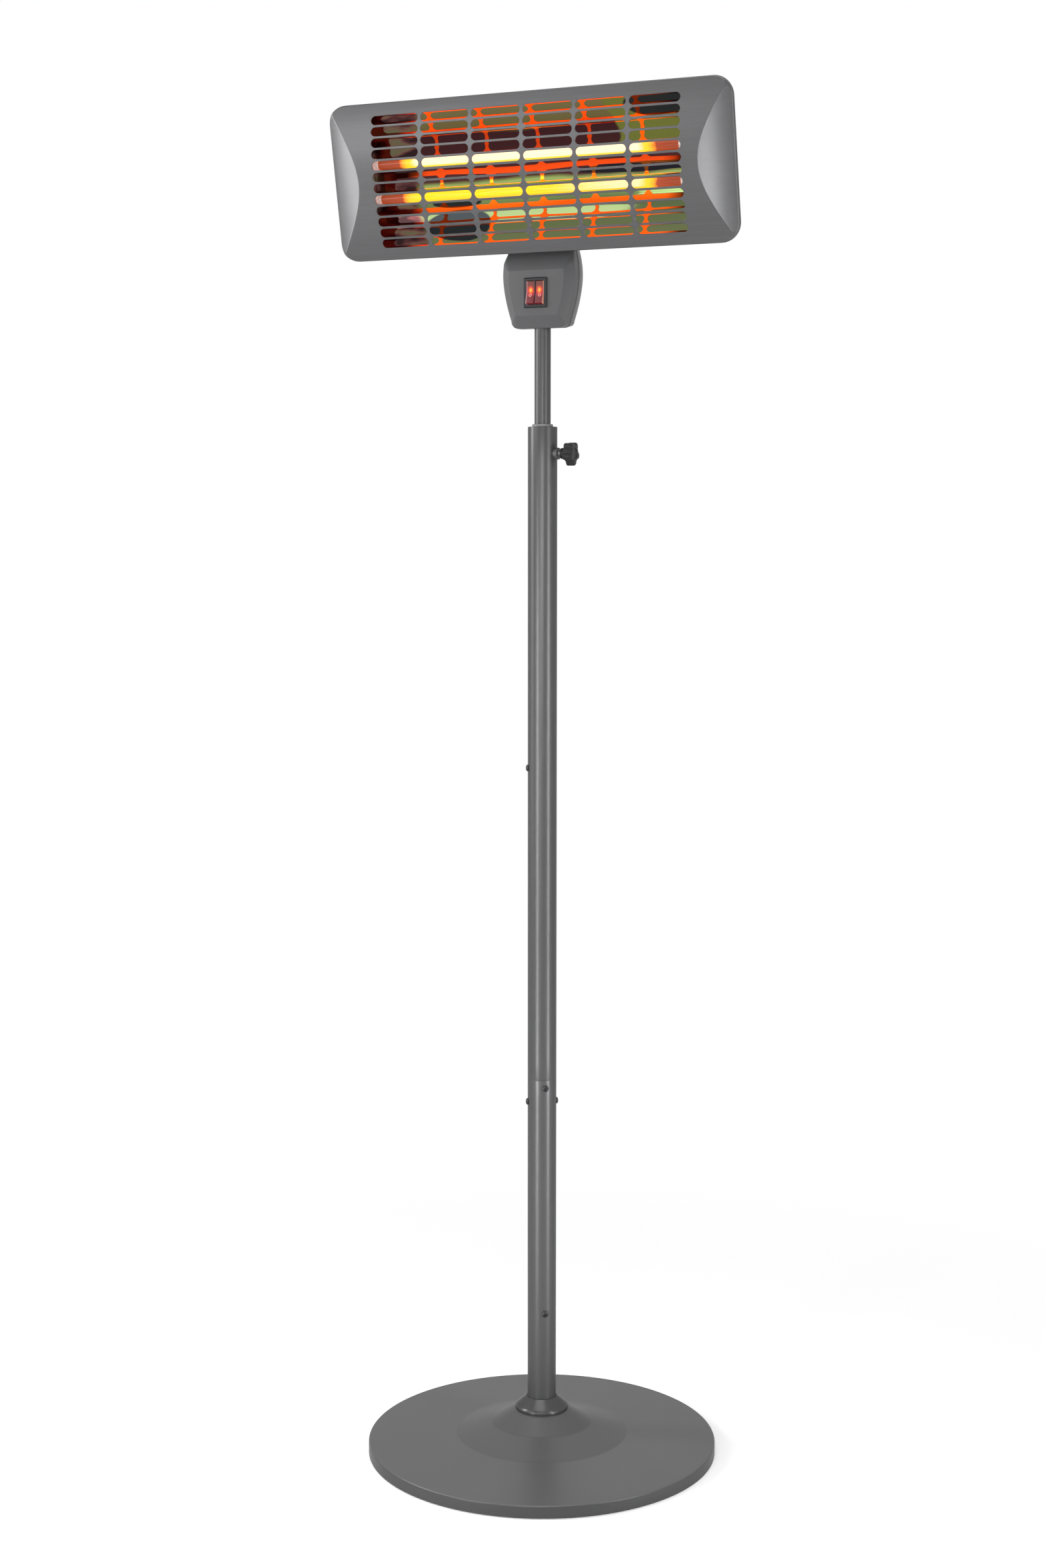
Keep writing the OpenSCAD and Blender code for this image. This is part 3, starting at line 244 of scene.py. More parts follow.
TO_PLUS_X = rotation(90, "Y")
TO_MINUS_X = rotation(-90, "Y")
TO_PLUS_Y = rotation(-90, "X")
TO_MINUS_Y = rotation(90, "X")
HEAD_TURN = rotation(degrees(head_tilt), "X")


def on_head(patches):
    """Patches from the head's own frame in the frame of the whole heater."""
    return moved(patches, (0, -head_front, head_z), HEAD_TURN)


def tube_patch(r, wall, z0, z1, edge, sides):
    """A tube along +Z: a rectangle with small rounded corners, turned about the axis. Rows at even
    steps keep its faces short."""
    rows = np.arange(z0 + tube_row, z1 - tube_row, tube_row)
    outer, inner = [(r, z) for z in rows], [(r - wall, z) for z in rows[::-1]]
    points = [(r, z0), *outer, (r, z1), (r - wall, z1), *inner, (r - wall, z0)]
    cuts = [edge, *[0] * len(rows), edge] * 2
    return turned(rounded(points, cuts, 4), sides)


def rod_patch(r, z0, z1, edge, sides):
    """A rod along +Z: a profile from the axis, out, along and back to the axis, turned about it."""
    outline = rounded([(0, z0), (r, z0), (r, z1), (0, z1)], edge, 4, closed=False)
    return turned(outline, sides, False)


def box_patches(low, high):
    """A plain block between two corners, as a ring of four sides and two lids."""
    (x0, y0, z0), (x1, y1, z1) = low, high
    ring = np.array([(x0, y0), (x1, y0), (x1, y1), (x0, y1)], float)
    return drum([column_stack([ring, full(4, z)]) for z in (z0, z1)])


def build_mesh(name, patches):
    """A mesh in metres from patches in millimetres, its equal points merged, facing outwards."""
    offsets = np.cumsum([0] + [len(p[0]) for p in patches])
    points = concatenate([p[0] for p in patches]) * MM
    faces = concatenate([p[1] + o for p, o in zip(patches, offsets)])
    finish = concatenate([full(len(p[1]), p[2]) for p in patches])
    mesh = bpy.data.meshes.new(name)
    mesh.from_pydata(points.tolist(), [], faces.tolist())
    mesh.polygons.foreach_set("material_index", finish.astype(np.int32))
    work = bmesh.new()
    work.from_mesh(mesh)
    bmesh.ops.remove_doubles(work, verts=work.verts, dist=2e-6)
    bmesh.ops.dissolve_degenerate(work, edges=work.edges, dist=1e-7)
    bmesh.ops.recalc_face_normals(work, faces=work.faces)
    work.to_mesh(mesh)
    work.free()
    return mesh


def modify(piece, kind, **settings):
    """Adds one modifier and bakes it into the piece's mesh."""
    modifier = piece.modifiers.new(kind.lower(), kind)
    for key, setting in settings.items():
        setattr(modifier, key, setting)
    graph = bpy.context.evaluated_depsgraph_get()
    baked = bpy.data.meshes.new_from_object(piece.evaluated_get(graph))
    piece.modifiers.clear()
    piece.data = baked


def add_object(name, data):
    made = bpy.data.objects.new(name, data)
    bpy.context.scene.collection.objects.link(made)
    return made


def make_piece(name, patches, body, slot, node=None, finishes=(), sharp=35, bevel=None,
               cutter=None):
    """One piece of the heater: its mesh, rounded edges and cut-outs, its finishes, the body it
    rides on, its slot in the record and the CAD node that it stands for."""
    piece = add_object(name, build_mesh(name, patches))
    for finish in finishes or [SLOT_FINISH[slot]]:
        piece.data.materials.append(finish.material)
    if bevel:
        width, segments, angle = bevel
        modify(piece, "BEVEL", width=width * MM, segments=segments, limit_method="ANGLE",
               angle_limit=radians(angle))
    if cutter:
        tool = add_object(name + "_cutter", build_mesh(name + "_cutter", cutter))
        modify(piece, "BOOLEAN", operation="DIFFERENCE", solver="EXACT", object=tool)
        bpy.data.objects.remove(tool)
    piece.data.shade_smooth()
    piece.data.set_sharp_from_angle(angle=radians(sharp))
    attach(piece, body)
    if node:
        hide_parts(node)


# --- finishes


class Value:
    """One output socket among some nodes. Arithmetic on it adds Math nodes."""

    def __init__(self, nodes, socket):
        self.nodes, self.socket = nodes, socket

    def math(self, operation, *operands):
        return self.nodes.node("Math", operands, operation=operation)

    def __rsub__(self, other):
        return self.math("SUBTRACT", other, self)

    def __abs__(self):
        return self.math("ABSOLUTE", self)

    def limited(self):
        """The value kept between 0 and 1."""
        return self.nodes.node("Clamp", [self])

    def beyond(self, start, over):
        """0 up to the start, and from there rising to 1 over a stretch."""
        return ((self - start) / over).limited()


for sign, operation in {"add": "ADD", "radd": "ADD", "sub": "SUBTRACT", "mul": "MULTIPLY",
                        "rmul": "MULTIPLY", "truediv": "DIVIDE", "gt": "GREATER_THAN",
                        "lt": "LESS_THAN"}.items():
    setattr(Value, f"__{sign}__", lambda self, other, operation=operation:
            self.math(operation, self, other))


class Nodes:
    """A node tree in the making."""

    def __init__(self, tree):
        self.tree = tree

    def feed(self, socket, value):
        if isinstance(value, Value):
            self.tree.links.new(value.socket, socket)
        else:
            socket.default_value = value

    def node(self, kind, inputs=(), output=0, **settings):
        """Adds a shader node, with its inputs by name or in order, and gives one of its outputs."""
        made = self.tree.nodes.new("ShaderNode" + kind)
        for key, setting in settings.items():
            setattr(made, key, setting)
        for key, value in inputs.items() if isinstance(inputs, dict) else enumerate(inputs):
            self.feed(made.inputs[key], value)
        return Value(self, made.outputs[output])

    def seen(self):
        """1 for the camera, in reflections and through glass, and 0 for the light in the shade."""
        camera, glossy, through = [self.node("LightPath", (), f"Is {kind} Ray")
                                   for kind in ("Camera", "Glossy", "Transmission")]
        either = camera.math("MAXIMUM", camera, glossy)
        return either.math("MAXIMUM", either, through)


class Finish(Nodes):
    """A material in the making: set() feeds its main shader."""

    def __init__(self, name, colour, **constants):
        self.material = bpy.data.materials.new(name)
        self.material.use_nodes = True
        super().__init__(self.material.node_tree)
        self.shader = self.tree.nodes["Principled BSDF"]
        self.material.diffuse_color = (*colour, 1)
        self.set("Base Color", (*colour, 1))
        for words, value in constants.items():
            self.set(words.replace("_", " "), value)

    def set(self, socket, value):
        self.feed(self.shader.inputs[socket], value)

    def blend(self, factor, first, second):
        """The surface as a mix of two shaders, where None is the main one."""
        pair = [shader or Value(self, self.shader.outputs[0]) for shader in (first, second)]
        self.feed(self.tree.nodes["Material Output"].inputs["Surface"],
                  self.node("MixShader", [factor, *pair]))

    def place(self):
        """The point on the piece, in metres."""
        return self.node("TexCoord", (), "Object")

    def axis(self, letter):
        """One coordinate of the point, in metres."""
        return self.node("SeparateXYZ", [self.place()], letter)

    def vector(self, operation, first, second=(0, 0, 0), output="Vector"):
        return self.node("VectorMath", [first, second], output, operation=operation)

    def length(self, vector):
        return self.vector("LENGTH", vector, output="Value")

    def noise(self, per_metre, detail=2.0, stretch=(1, 1, 1)):
        """Soft noise from 0 to 1, with so many grains to a metre, drawn out along the axes."""
        spread = self.vector("MULTIPLY", self.place(), stretch)
        return self.node("TexNoise", {"Vector": spread, "Scale": per_metre, "Detail": detail})

    def ramp(self, factor, *stops):
        """A run of colours: each stop is a place on the factor and its colour."""
        made = self.node("ValToRGB", [factor])
        elements = made.socket.node.color_ramp.elements
        for number, (place, colour) in enumerate(stops):
            stop = elements[number] if number < 2 else elements.new(place)
            stop.position, stop.color = place, (*colour, 1)
        return made

    def mix(self, factor, first, second):
        """One colour turning into the other as the factor goes from 0 to 1."""
        first, second = [c if isinstance(c, Value) else (*c, 1) for c in (first, second)]
        return self.node("Mix", {0: factor, 6: first, 7: second}, 2, data_type="RGBA")

    def tint(self, factor, colour, low, high):
        """Base colour from the low share of the colour to the high one."""
        self.set("Base Color", self.mix(factor, shade(colour, low), shade(colour, high)))

    def gloss(self, roughness, noise, swing):
        self.set("Roughness", roughness + (noise - 0.5) * swing)

    def bump(self, height, strength, distance):
        """Raises the surface by the height, as far as the distance in millimetres."""
        self.set("Normal", self.node("Bump", {"Strength": strength, "Distance": distance * MM,
                                              "Height": height}))

    def glow(self, colour, strength=1.0):
        self.set("Emission Color", colour)
        self.set("Emission Strength", strength)


def shade(colour, factor):
    return tuple(c * factor for c in colour)


def painted(name, colour, roughness, metallic, base=False):
    """Metal-flake powder coat on steel: fine orange peel, faint clouds in colour and gloss.

    The base's coat has painted shade: darker on its wall near the ground, and in two steps on the
    hill.
    """
    f = Finish(name, colour, Metallic=metallic, Specular_IOR_Level=0.25,
               Specular_Tint=(0.4, 0.4, 0.4, 1))
    clouds, flakes = f.noise(9, 3), f.noise(2600, 1)
    coat = f.mix(clouds * 0.8 + flakes * 0.2, shade(colour, 0.93), shade(colour, 1.07))
    if base:
        away = f.length(f.vector("MULTIPLY", f.place(), (1, 1, 0)))
        # Painted shade: a contact shadow on the rim wall near the ground, and two darker steps on
        # the sloping hill, which catches less of the overhead light
        for measure, edge, step, share in ((away, hill_r, shade_step, 0.84),
                                           (away, inner_shade_r, shade_step, 0.70),
                                           (f.axis("Z"), rim_shade_z, 1.0, 0.62)):
            coat = f.mix((measure / MM).beyond(edge, step), shade(colour, share), coat)
    f.set("Base Color", coat)
    f.gloss(roughness, f.noise(40, 3), 0.05)
    f.bump(f.noise(260, 2), 0.015, 0.05)
    return f


def brushed_face(colour, roughness, metallic):
    """Lacquered brushed sheet: fine lines along the head, in gloss, colour and relief."""
    f = Finish("brushed grey face", colour, Metallic=metallic, Specular_IOR_Level=0.25,
               Specular_Tint=(0.5, 0.5, 0.5, 1))
    lines, broad = f.noise(1500, 3, (0.012, 1, 1)), f.noise(160, 3, (0.03, 1, 1))
    f.tint(lines * 0.6 + broad * 0.4, colour, 0.80, 1.20)
    f.gloss(roughness, lines, 0.18)
    f.bump(lines, 0.25, 0.03)
    return f


def brushed(name, colour, roughness, grain, metallic=1.0):
    """Plated or brushed metal: fine lines drawn out along one axis and soft blotches."""
    f = Finish(name, colour, Metallic=metallic)
    lines = f.noise(900, 3, grain)
    f.tint(f.noise(30, 4), colour, 0.8, 1.1)
    f.gloss(roughness, lines, 0.2)
    f.bump(lines, 0.1, 0.03)
    return f


def moulded(name, colour, roughness, grain, strength, level=0.4):
    """Moulded plastic or rubber: an even fine spark texture and slight change in gloss."""
    f = Finish(name, colour, Specular_IOR_Level=level)
    f.tint(f.noise(14, 3), colour, 0.88, 1.12)
    f.gloss(roughness, f.noise(60, 3), 0.12)
    f.bump(f.noise(grain, 3), strength, 0.06)
    return f


def speckled(name, colour, roughness, per_metre, detail, *stops):
    """A dull body whose colour runs from one stop to the next by noise."""
    f = Finish(name, colour, Roughness=roughness)
    f.set("Base Color", f.ramp(f.noise(per_metre, detail), *stops))
    return f


def cast_stone():
    """Cast concrete: grey paste, pale and dark grains, small air holes."""
    f = speckled("cast concrete", (0.42, 0.41, 0.38), 0.9, 60, 6,
                 (0.3, (0.30, 0.29, 0.27)), (0.7, (0.50, 0.49, 0.45)))
    grains = f.node("TexVoronoi", {"Vector": f.place(), "Scale": 260.0})
    f.bump(grains + f.noise(500, 4), 0.5, 0.5)
    return f


def fired_clay():
    """Unglazed steatite: off-white, faintly speckled."""
    f = speckled("steatite", (0.74, 0.70, 0.64), 0.6, 350, 4,
                 (0.35, (0.60, 0.54, 0.48)), (0.6, (0.78, 0.75, 0.70)))
    f.bump(f.noise(900, 3), 0.15, 0.05)
    return f


def up_the_face(f):
    """Height of the point over the middle of the head's face, in metres along the face."""
    up = (0, -sin(head_tilt), cos(head_tilt))
    middle = (head_front * sin(head_tilt) + head_z * cos(head_tilt)) * MM
    return f.vector("DOT_PRODUCT", f.place(), up, "Value") - middle


def blot(x, height, middle, reach, wander):
    """From 0 outside to 1 inside an oval patch on the head, its edge moved about by noise."""
    across, up = (x - middle[0]) / reach[0], (height - middle[1]) / reach[1]
    return ((1.0 + wander * 1.4 - across * across - up * up) / 0.12).limited()


def mirror_sheet():
    """Polished sheet with painted reflections in bands along the elements: maroon over each
    element, pale green beside the lower one, olive above and grey-green below, with dark blots of
    painted reflection and a painted shadow over the left end."""
    f = Finish("mirror with painted reflections", (0.16, 0.13, 0.05), Metallic=1.0, Roughness=0.04)
    x, wander = f.axis("X"), f.noise(16, 2, (0.5, 1, 1)) - 0.5
    up = up_the_face(f)
    # Painted reflections, in bands up the face
    bands = f.ramp((up + wander * 0.018) / 0.18 + 0.5,
                   (0.0, (0.15, 0.17, 0.075)), (0.25, (0.105, 0.14, 0.06)),
                   (0.29, (0.15, 0.21, 0.08)), (0.38, (0.30, 0.40, 0.13)),
                   (0.44, (0.34, 0.44, 0.13)), (0.47, (0.085, 0.03, 0.03)),
                   (0.62, (0.055, 0.018, 0.018)), (0.80, (0.045, 0.014, 0.016)),
                   (0.84, (0.14, 0.11, 0.04)), (1.0, (0.17, 0.14, 0.06)))
    # Painted reflection: an olive patch on the right, above the middle
    right = (x + wander * 0.10).beyond(0.112, 0.004) * up.beyond(0.026, 0.002)
    tint = f.mix(right, bands, (0.15, 0.16, 0.035))
    # Painted dark reflections in oval blots
    for middle, reach in (((-0.115, -0.062), (0.050, 0.021)), ((0.190, 0.078), (0.052, 0.019)),
                          ((-0.118, -0.034), (0.040, 0.007)), ((0.16, -0.002), (0.10, 0.006))):
        tint = f.mix(blot(x, up, middle, reach, wander) * 0.95, tint, (0.014, 0.016, 0.022))
    # Painted shadow over the left end
    left = (wander * 0.07 - x).beyond(0.158, 0.012)
    painted_end_shadow = f.ramp(f.noise(45, 2, (0.5, 1, 1.5)), (0.40, (0.028, 0.014, 0.015)),
                  (0.50, (0.10, 0.035, 0.035)), (0.58, (0.15, 0.09, 0.06)),
                  (0.68, (0.12, 0.11, 0.06)))
    f.set("Base Color", f.mix(left, tint, painted_end_shadow))
    f.bump(f.noise(30, 1, (0.5, 1, 1)), 0.12, 0.5)
    return f


def lit_back():
    """The grille's hidden side, painted, with the elements' light on it painted in as a glow as far
    as they reach: orange, and yellower on the bars that face the maroon bands of the mirror."""
    f = Finish("paint with painted glow of the elements", (0.16, 0.16, 0.16), Roughness=0.5)
    x, up = f.axis("X"), up_the_face(f)
    lit = f.mix(f.noise(12, 2, (0.3, 1, 1)), (0.60, 0.048, 0.006), (0.75, 0.066, 0.009))
    facing = (abs(up) < 0.009) + (abs(up - 0.037) < 0.009) * (x < 0.094)
    lit = f.mix(facing, lit, (1.0, 0.24, 0.03))
    faded = (abs(x) + (f.noise(30, 2) - 0.5) * 0.02).beyond(0.172, 0.03)
    f.glow(f.mix(faded, lit, (0.03, 0.004, 0.003)), 13.0)
    return f


def slot_wall():
    """Cut edges of the slots, with a little of the elements' light painted on as a glow."""
    f = Finish("cut edge of a slot", (0.10, 0.085, 0.085), Roughness=0.5)
    near = (1.0 - abs(f.axis("X")) / 0.23).limited()
    f.glow(f.mix(near * f.noise(60, 2, (0.3, 1, 1)), (0.02, 0.01, 0.01), (0.13, 0.03, 0.02)))
    return f


def heated(f, glow, hotter, ragged, *ends):
    """A glow that turns hotter towards +X in streaks along the coil, and the function that adds the
    colours of its ends, where the distance from the middle nears the coil's half length."""
    x = f.axis("X")
    rise = ((x - 0.035) / 0.09 + (f.noise(700, 2, (0.03, 1, 1)) - 0.5) * 1.2).limited()
    reach = abs(x) / (coil_half * MM) + ragged
    return (f.mix(rise, glow, hotter),
            lambda colour: f.mix(reach.beyond(0.86, 0.05), colour, f.ramp(reach, *ends)))


def hot_wire(name, hot, hotter):
    """Heating wire: even glow along the coil, hotter to the right, dull red at both cold ends."""
    f = Finish(name, (0.1, 0.05, 0.03), Roughness=0.6)
    glow, with_ends = heated(f, hot, hotter, (f.noise(120, 2) - 0.5) * 0.02,
                             (0.93, (1.0, 0.72, 0.02)), (0.97, (1.0, 0.45, 0.02)),
                             (0.985, (0.75, 0.14, 0.01)), (1.0, (0.30, 0.035, 0.01)))
    f.glow(with_ends(glow), 1.3)
    return f


def fused_quartz(name, side, halo, hotter, fringe):
    """Clear quartz tube, filled with the light of its coil: half see-through, half glow, with a
    deeper fringe along its underside and dark brown-red past the coil's ends."""
    f = Finish(name, (0.10, 0.03, 0.015), Roughness=0.08, Specular_IOR_Level=0.4)
    streaks = f.noise(900, 2, (0.02, 1, 1)).beyond(0.45, 0.15)
    under = (((side * element_z - 3.4) * MM - up_the_face(f)) / 0.0012).limited()
    glow, with_ends = heated(f, f.mix(streaks, halo, shade(halo, 1.25)), hotter,
                             (f.noise(90, 2, (1, 1, 2)) - 0.5) * 0.05,
                             (0.93, (1.0, 0.74, 0.02)), (0.965, (1.0, 0.50, 0.02)),
                             (0.995, (0.80, 0.16, 0.01)), (1.03, (0.40, 0.05, 0.01)),
                             (1.15, (0.30, 0.045, 0.012)))
    f.glow(with_ends(f.mix(under, glow, fringe)))
    clear = f.node("BsdfTransparent", {"Color": (0.97, 0.97, 0.95, 1)})
    f.blend(0.70 + f.noise(60, 2) * 0.1, clear, None)
    return f


def lit_rocker(name, x, side):
    """Translucent red rocker: a yellow spot from the lamp behind it, with an orange flame over it,
    crimson below, brown above, and a painted reflection along its outer edge, as a bright glow."""
    f = Finish(name, (0.10, 0.005, 0.005), Roughness=0.25, Specular_IOR_Level=0.3)
    spot = ((x - side * 0.6) * MM, bezel_y * MM, (switch_z + 3.2) * MM)
    offset = f.vector("SUBTRACT", f.place(), spot)
    ripple = (f.noise(420, 2) - 0.5) * 0.25
    away = f.length(f.vector("MULTIPLY", offset, (1.5, 0.0, 1.0))) / (10 * MM) + ripple
    height = f.node("SeparateXYZ", [offset], "Z") / (16 * MM) + 0.5
    ground = f.ramp(height + ripple * 0.3, (0.0, (0.05, 0.006, 0.012)),
                    (0.18, (0.30, 0.010, 0.030)), (0.50, (0.40, 0.020, 0.015)),
                    (0.80, (0.16, 0.035, 0.020)), (0.98, (0.06, 0.03, 0.02)))
    flame = f.ramp(away, (0.08, (1.0, 0.66, 0.05)), (0.24, (1.0, 0.26, 0.02)),
                   (0.42, (0.75, 0.07, 0.015)))
    colour = f.mix(away.beyond(0.40, 0.25), flame, ground)
    # Painted reflection: a bright glow along the rocker's outer edge
    edge = (f.axis("X") * side).beyond((side * x + rocker_w / 2 - 1.3) * MM, 0.3 * MM)
    bright = (0.62, 0.36, 0.40) if side < 0 else (0.60, 0.30, 0.20)
    f.glow(f.mix(edge * (0.7 + ripple), colour, bright))
    f.bump(f.noise(500, 2), 0.1, 0.1)
    return f


def lit_mark():
    """Pale red ring, lit from behind."""
    f = Finish("lit mark", (0.35, 0.12, 0.10), Roughness=0.5, Specular_IOR_Level=0.2)
    f.glow(f.mix(f.noise(300, 2), (0.85, 0.20, 0.16), (0.95, 0.32, 0.26)))
    return f


SLOT_FINISH = {
    "painted_steel": painted("grey powder coat", (0.115, 0.115, 0.116), 0.36, 0.35),
    "zinc_steel": brushed("zinc plate", (0.30, 0.30, 0.31), 0.36, (0.15, 1, 1)),
    "black_steel": brushed("black oxide", (0.035, 0.035, 0.038), 0.42, (1, 1, 0.3), 0.6),
    "concrete": cast_stone(),
    "rubber": moulded("black rubber", (0.03, 0.03, 0.03), 0.8, 900, 0.3),
    "nylon": moulded("grey nylon", (0.20, 0.20, 0.20), 0.45, 800, 0.1),
    "brass": brushed("turned brass", (0.72, 0.53, 0.23), 0.28, (1, 0.2, 1)),
    "knob_plastic": moulded("black knob plastic", (0.014, 0.014, 0.015), 0.45, 1300, 0.2, 0.22),
    "box_plastic": moulded("grey box plastic", (0.092, 0.092, 0.095), 0.40, 1500, 0.12, 0.25),
    "switch_black": moulded("black switch plastic", (0.009, 0.010, 0.011), 0.30, 900, 0.06, 0.3),
    "lit_red_plastic": lit_rocker("lit red rocker", 0.0, 1),
    "ceramic": fired_clay(),
    "mirror_aluminium": mirror_sheet(),
    "quartz": fused_quartz("quartz round the white coil", 1, (1.0, 0.92, 0.62), (1.0, 0.94, 0.68),
                           (1.0, 0.78, 0.06)),
    "glowing_wire": hot_wire("white hot coil", (1.0, 0.94, 0.66), (1.0, 0.94, 0.68)),
}
FACE_FINISHES = [brushed_face((0.120, 0.120, 0.123), 0.33, 0.55), lit_back(), slot_wall()]
BASE_PAINT = painted("grey base coat with painted shade", (0.130, 0.130, 0.131), 0.36, 0.35, True)
# The pole and mast wear the same powder coat as the rest, made darker: painted shade
SHADED_POLE_PAINT = painted("satin grey pole coat in painted shade", (0.080, 0.080, 0.081), 0.33, 0.45)
COLLAR = painted("satin grey collar", (0.066, 0.066, 0.067), 0.25, 0.55)
# A darker copy of the box plastic for the tongue: painted shade in the seam
SEAM_SHADE = moulded("box plastic in painted seam shade", (0.02, 0.02, 0.021), 0.6, 1500, 0.12, 0.1)
MARK = lit_mark()
HOT_LOWER = hot_wire("yellow hot coil", (1.0, 0.66, 0.012), (1.0, 0.90, 0.42))
QUARTZ_LOWER = fused_quartz("quartz round the yellow coil", -1, (1.0, 0.76, 0.012),
                            (1.0, 0.90, 0.48), (1.0, 0.66, 0.02))


def finish_cad_nodes():
    """Each CAD node takes the finish of its slot in the record."""
    for subpart in frame["record"]["subparts"]:
        node = frame["nodes"][subpart["node"]]
        node.data.materials.clear()
        node.data.materials.append(SLOT_FINISH[subpart["material_slot"]].material)


# --- base and pole


def hill_height(r):
    """Height of the base cover between the hill's foot and its land: two straight slopes, the
    upper one steeper."""
    t = (hill_r - r) / (hill_r - land_r)
    return hill_h + (land_h - hill_h) * np.interp(t, [0, hill_bend, 1], [0, hill_bend_rise, 1])


def base_profile():
    """The base cover's section: wall, rounded rim, shallow slope, hill, land, and back inside."""
    edge = np.radians(linspace(0, 90, 8))
    rim = column_stack([base_r - rim_edge + rim_edge * np.cos(edge),
                        rim_h - rim_edge + rim_edge * np.sin(edge)])
    slope_r = linspace(base_r - rim_edge - 1, hill_r + 0.5, 20)
    slope_h = np.interp(slope_r, [hill_r, base_r - rim_edge], [hill_h, rim_h])
    slope = column_stack([slope_r, slope_h])
    bend_r = hill_r - hill_bend * (hill_r - land_r)
    up_r = concatenate([linspace(hill_r - 0.5, bend_r + 1, 20),
                        linspace(bend_r - 1, land_r + 1.5, 16)])
    hill = column_stack([up_r, hill_height(up_r)])
    hole_r = pole_r + 0.6
    land = [(land_r - 2, land_h), (hole_r, land_h), (hole_r, land_h - cover_t)]
    inside = concatenate([hill[::-1] - (0, cover_t), slope[::-1] - (0, cover_t)])
    wall = [(base_r - cover_t, rim_h - rim_edge), (base_r - cover_t, base_foot),
            (base_r, base_foot)]
    return concatenate([rim, slope, hill, land, inside, wall])


def collar_profile():
    """The bell collar's section: a nearly upright lip that turns softly into a straight cone."""
    foot_r, edge_z = collar_high[0], collar_low[2] + collar_edge_h
    flare = [(collar_top_r + (foot_r - collar_top_r) * out,
              edge_z + (collar_high[2] - edge_z) * up) for out, up in collar_lip]
    inner = pole_r + 0.3
    ends = [(inner, collar_high[2]), (inner, collar_low[2]), (foot_r, collar_low[2])]
    return rounded(flare + ends, [0.6, 0.8, 2.2, 0.4, 0, 0, 0.3], 8)


def make_base():
    make_piece("base_cover_shell", [turned(base_profile(), 256)], "stand", "painted_steel",
               "base_cover", [BASE_PAINT], sharp=28)
    make_piece("collar_trumpet", [turned(collar_profile(), 128)], "stand", "painted_steel",
               "pole_collar", [COLLAR])


def make_pole():
    for name, body, node, *shape in (
            ("lower_pole", "stand", "lower_tube", pole_r, pole_wall, pole_foot, joint_z, 0.45, 160),
            ("upper_pole", "stand", "upper_tube", pole_r, pole_wall, joint_z, pole_top, 0.45, 160),
            ("mast_pipe", "mast", "mast_tube", mast_r, mast_wall, mast_low[2], mast_high[2],
             0.3, 128)):
        make_piece(name, [tube_patch(*shape)], body, "painted_steel", node, [SHADED_POLE_PAINT])


def pole_screw(turn, z, reach):
    """Pan head screw in the pole's wall, at a turn from the face's direction towards +X. The head's
    height falls off with the fourth power of the radius, and two crossed grooves are pressed in."""
    rings = concatenate([linspace(0, 0.9, 16), [0.96, 1.0, 1.0]])[:, None]
    a = circle(48)[None, :]
    x, y = screw_head_r * rings * np.cos(a), screw_head_r * rings * np.sin(a)
    arm, arm_end = 0.17 * screw_head_r, 0.62 * screw_head_r
    across, along = np.minimum(np.abs(x), np.abs(y)), np.maximum(np.abs(x), np.abs(y))
    groove = (clip((arm - across) / (0.35 * arm), 0, 1)
              * clip((arm_end - along) / (0.2 * arm_end), 0, 1))
    top = screw_head_h * (1 - 0.55 * rings ** 4 - 0.55 * groove)
    top[-1] = 0
    shank = [(screw_head_r, 0), (screw_shank_r, 0), (screw_shank_r, -reach), (0, -reach)]
    screw = [ring_patch(stack([x, y, top], -1)), turned(shank, 48, False)]
    aim = rotation(turn, "Z") @ TO_MINUS_Y
    return moved(screw, aim @ (0, 0, pole_r) + (0, 0, z), aim)


def make_screws():
    front, side, side_z = front_screw_turn, side_screw_turn, joint_z - side_joint_drop
    for name, node, reach, places in (
            ("joint_pan_screws", "joint_screws", 6,
             ((front, joint_z - front_joint_drop), (side, side_z), (side + 180, side_z))),
            ("foot_pan_screw", "foot_screw", 6, ((front, foot_screw_z),)),
            ("stop_pan_screw", "stop_screw", 11, ((side, stop_screw_z),))):
        screws = sum([pole_screw(*place, reach) for place in places], [])
        make_piece(name, screws, "stand", "black_steel", node)


def knob_radius(a):
    """Radius of the knob at an angle: the farthest of a core circle and five lobe circles, with
    the inner corners filled by a soft maximum."""
    ring, soft = knob_r - knob_lobe_r, 1.2
    near = a - np.radians(knob_turn + 360 / knob_lobes * np.arange(knob_lobes))[:, None]
    room = np.maximum(knob_lobe_r ** 2 - (ring * np.sin(near)) ** 2, 0)
    lobes = np.where((room > 0) & (np.cos(near) > 0), ring * np.cos(near) + np.sqrt(room), 0).max(0)
    return soft * np.log(np.exp(knob_core_r / soft) + np.exp(lobes / soft))


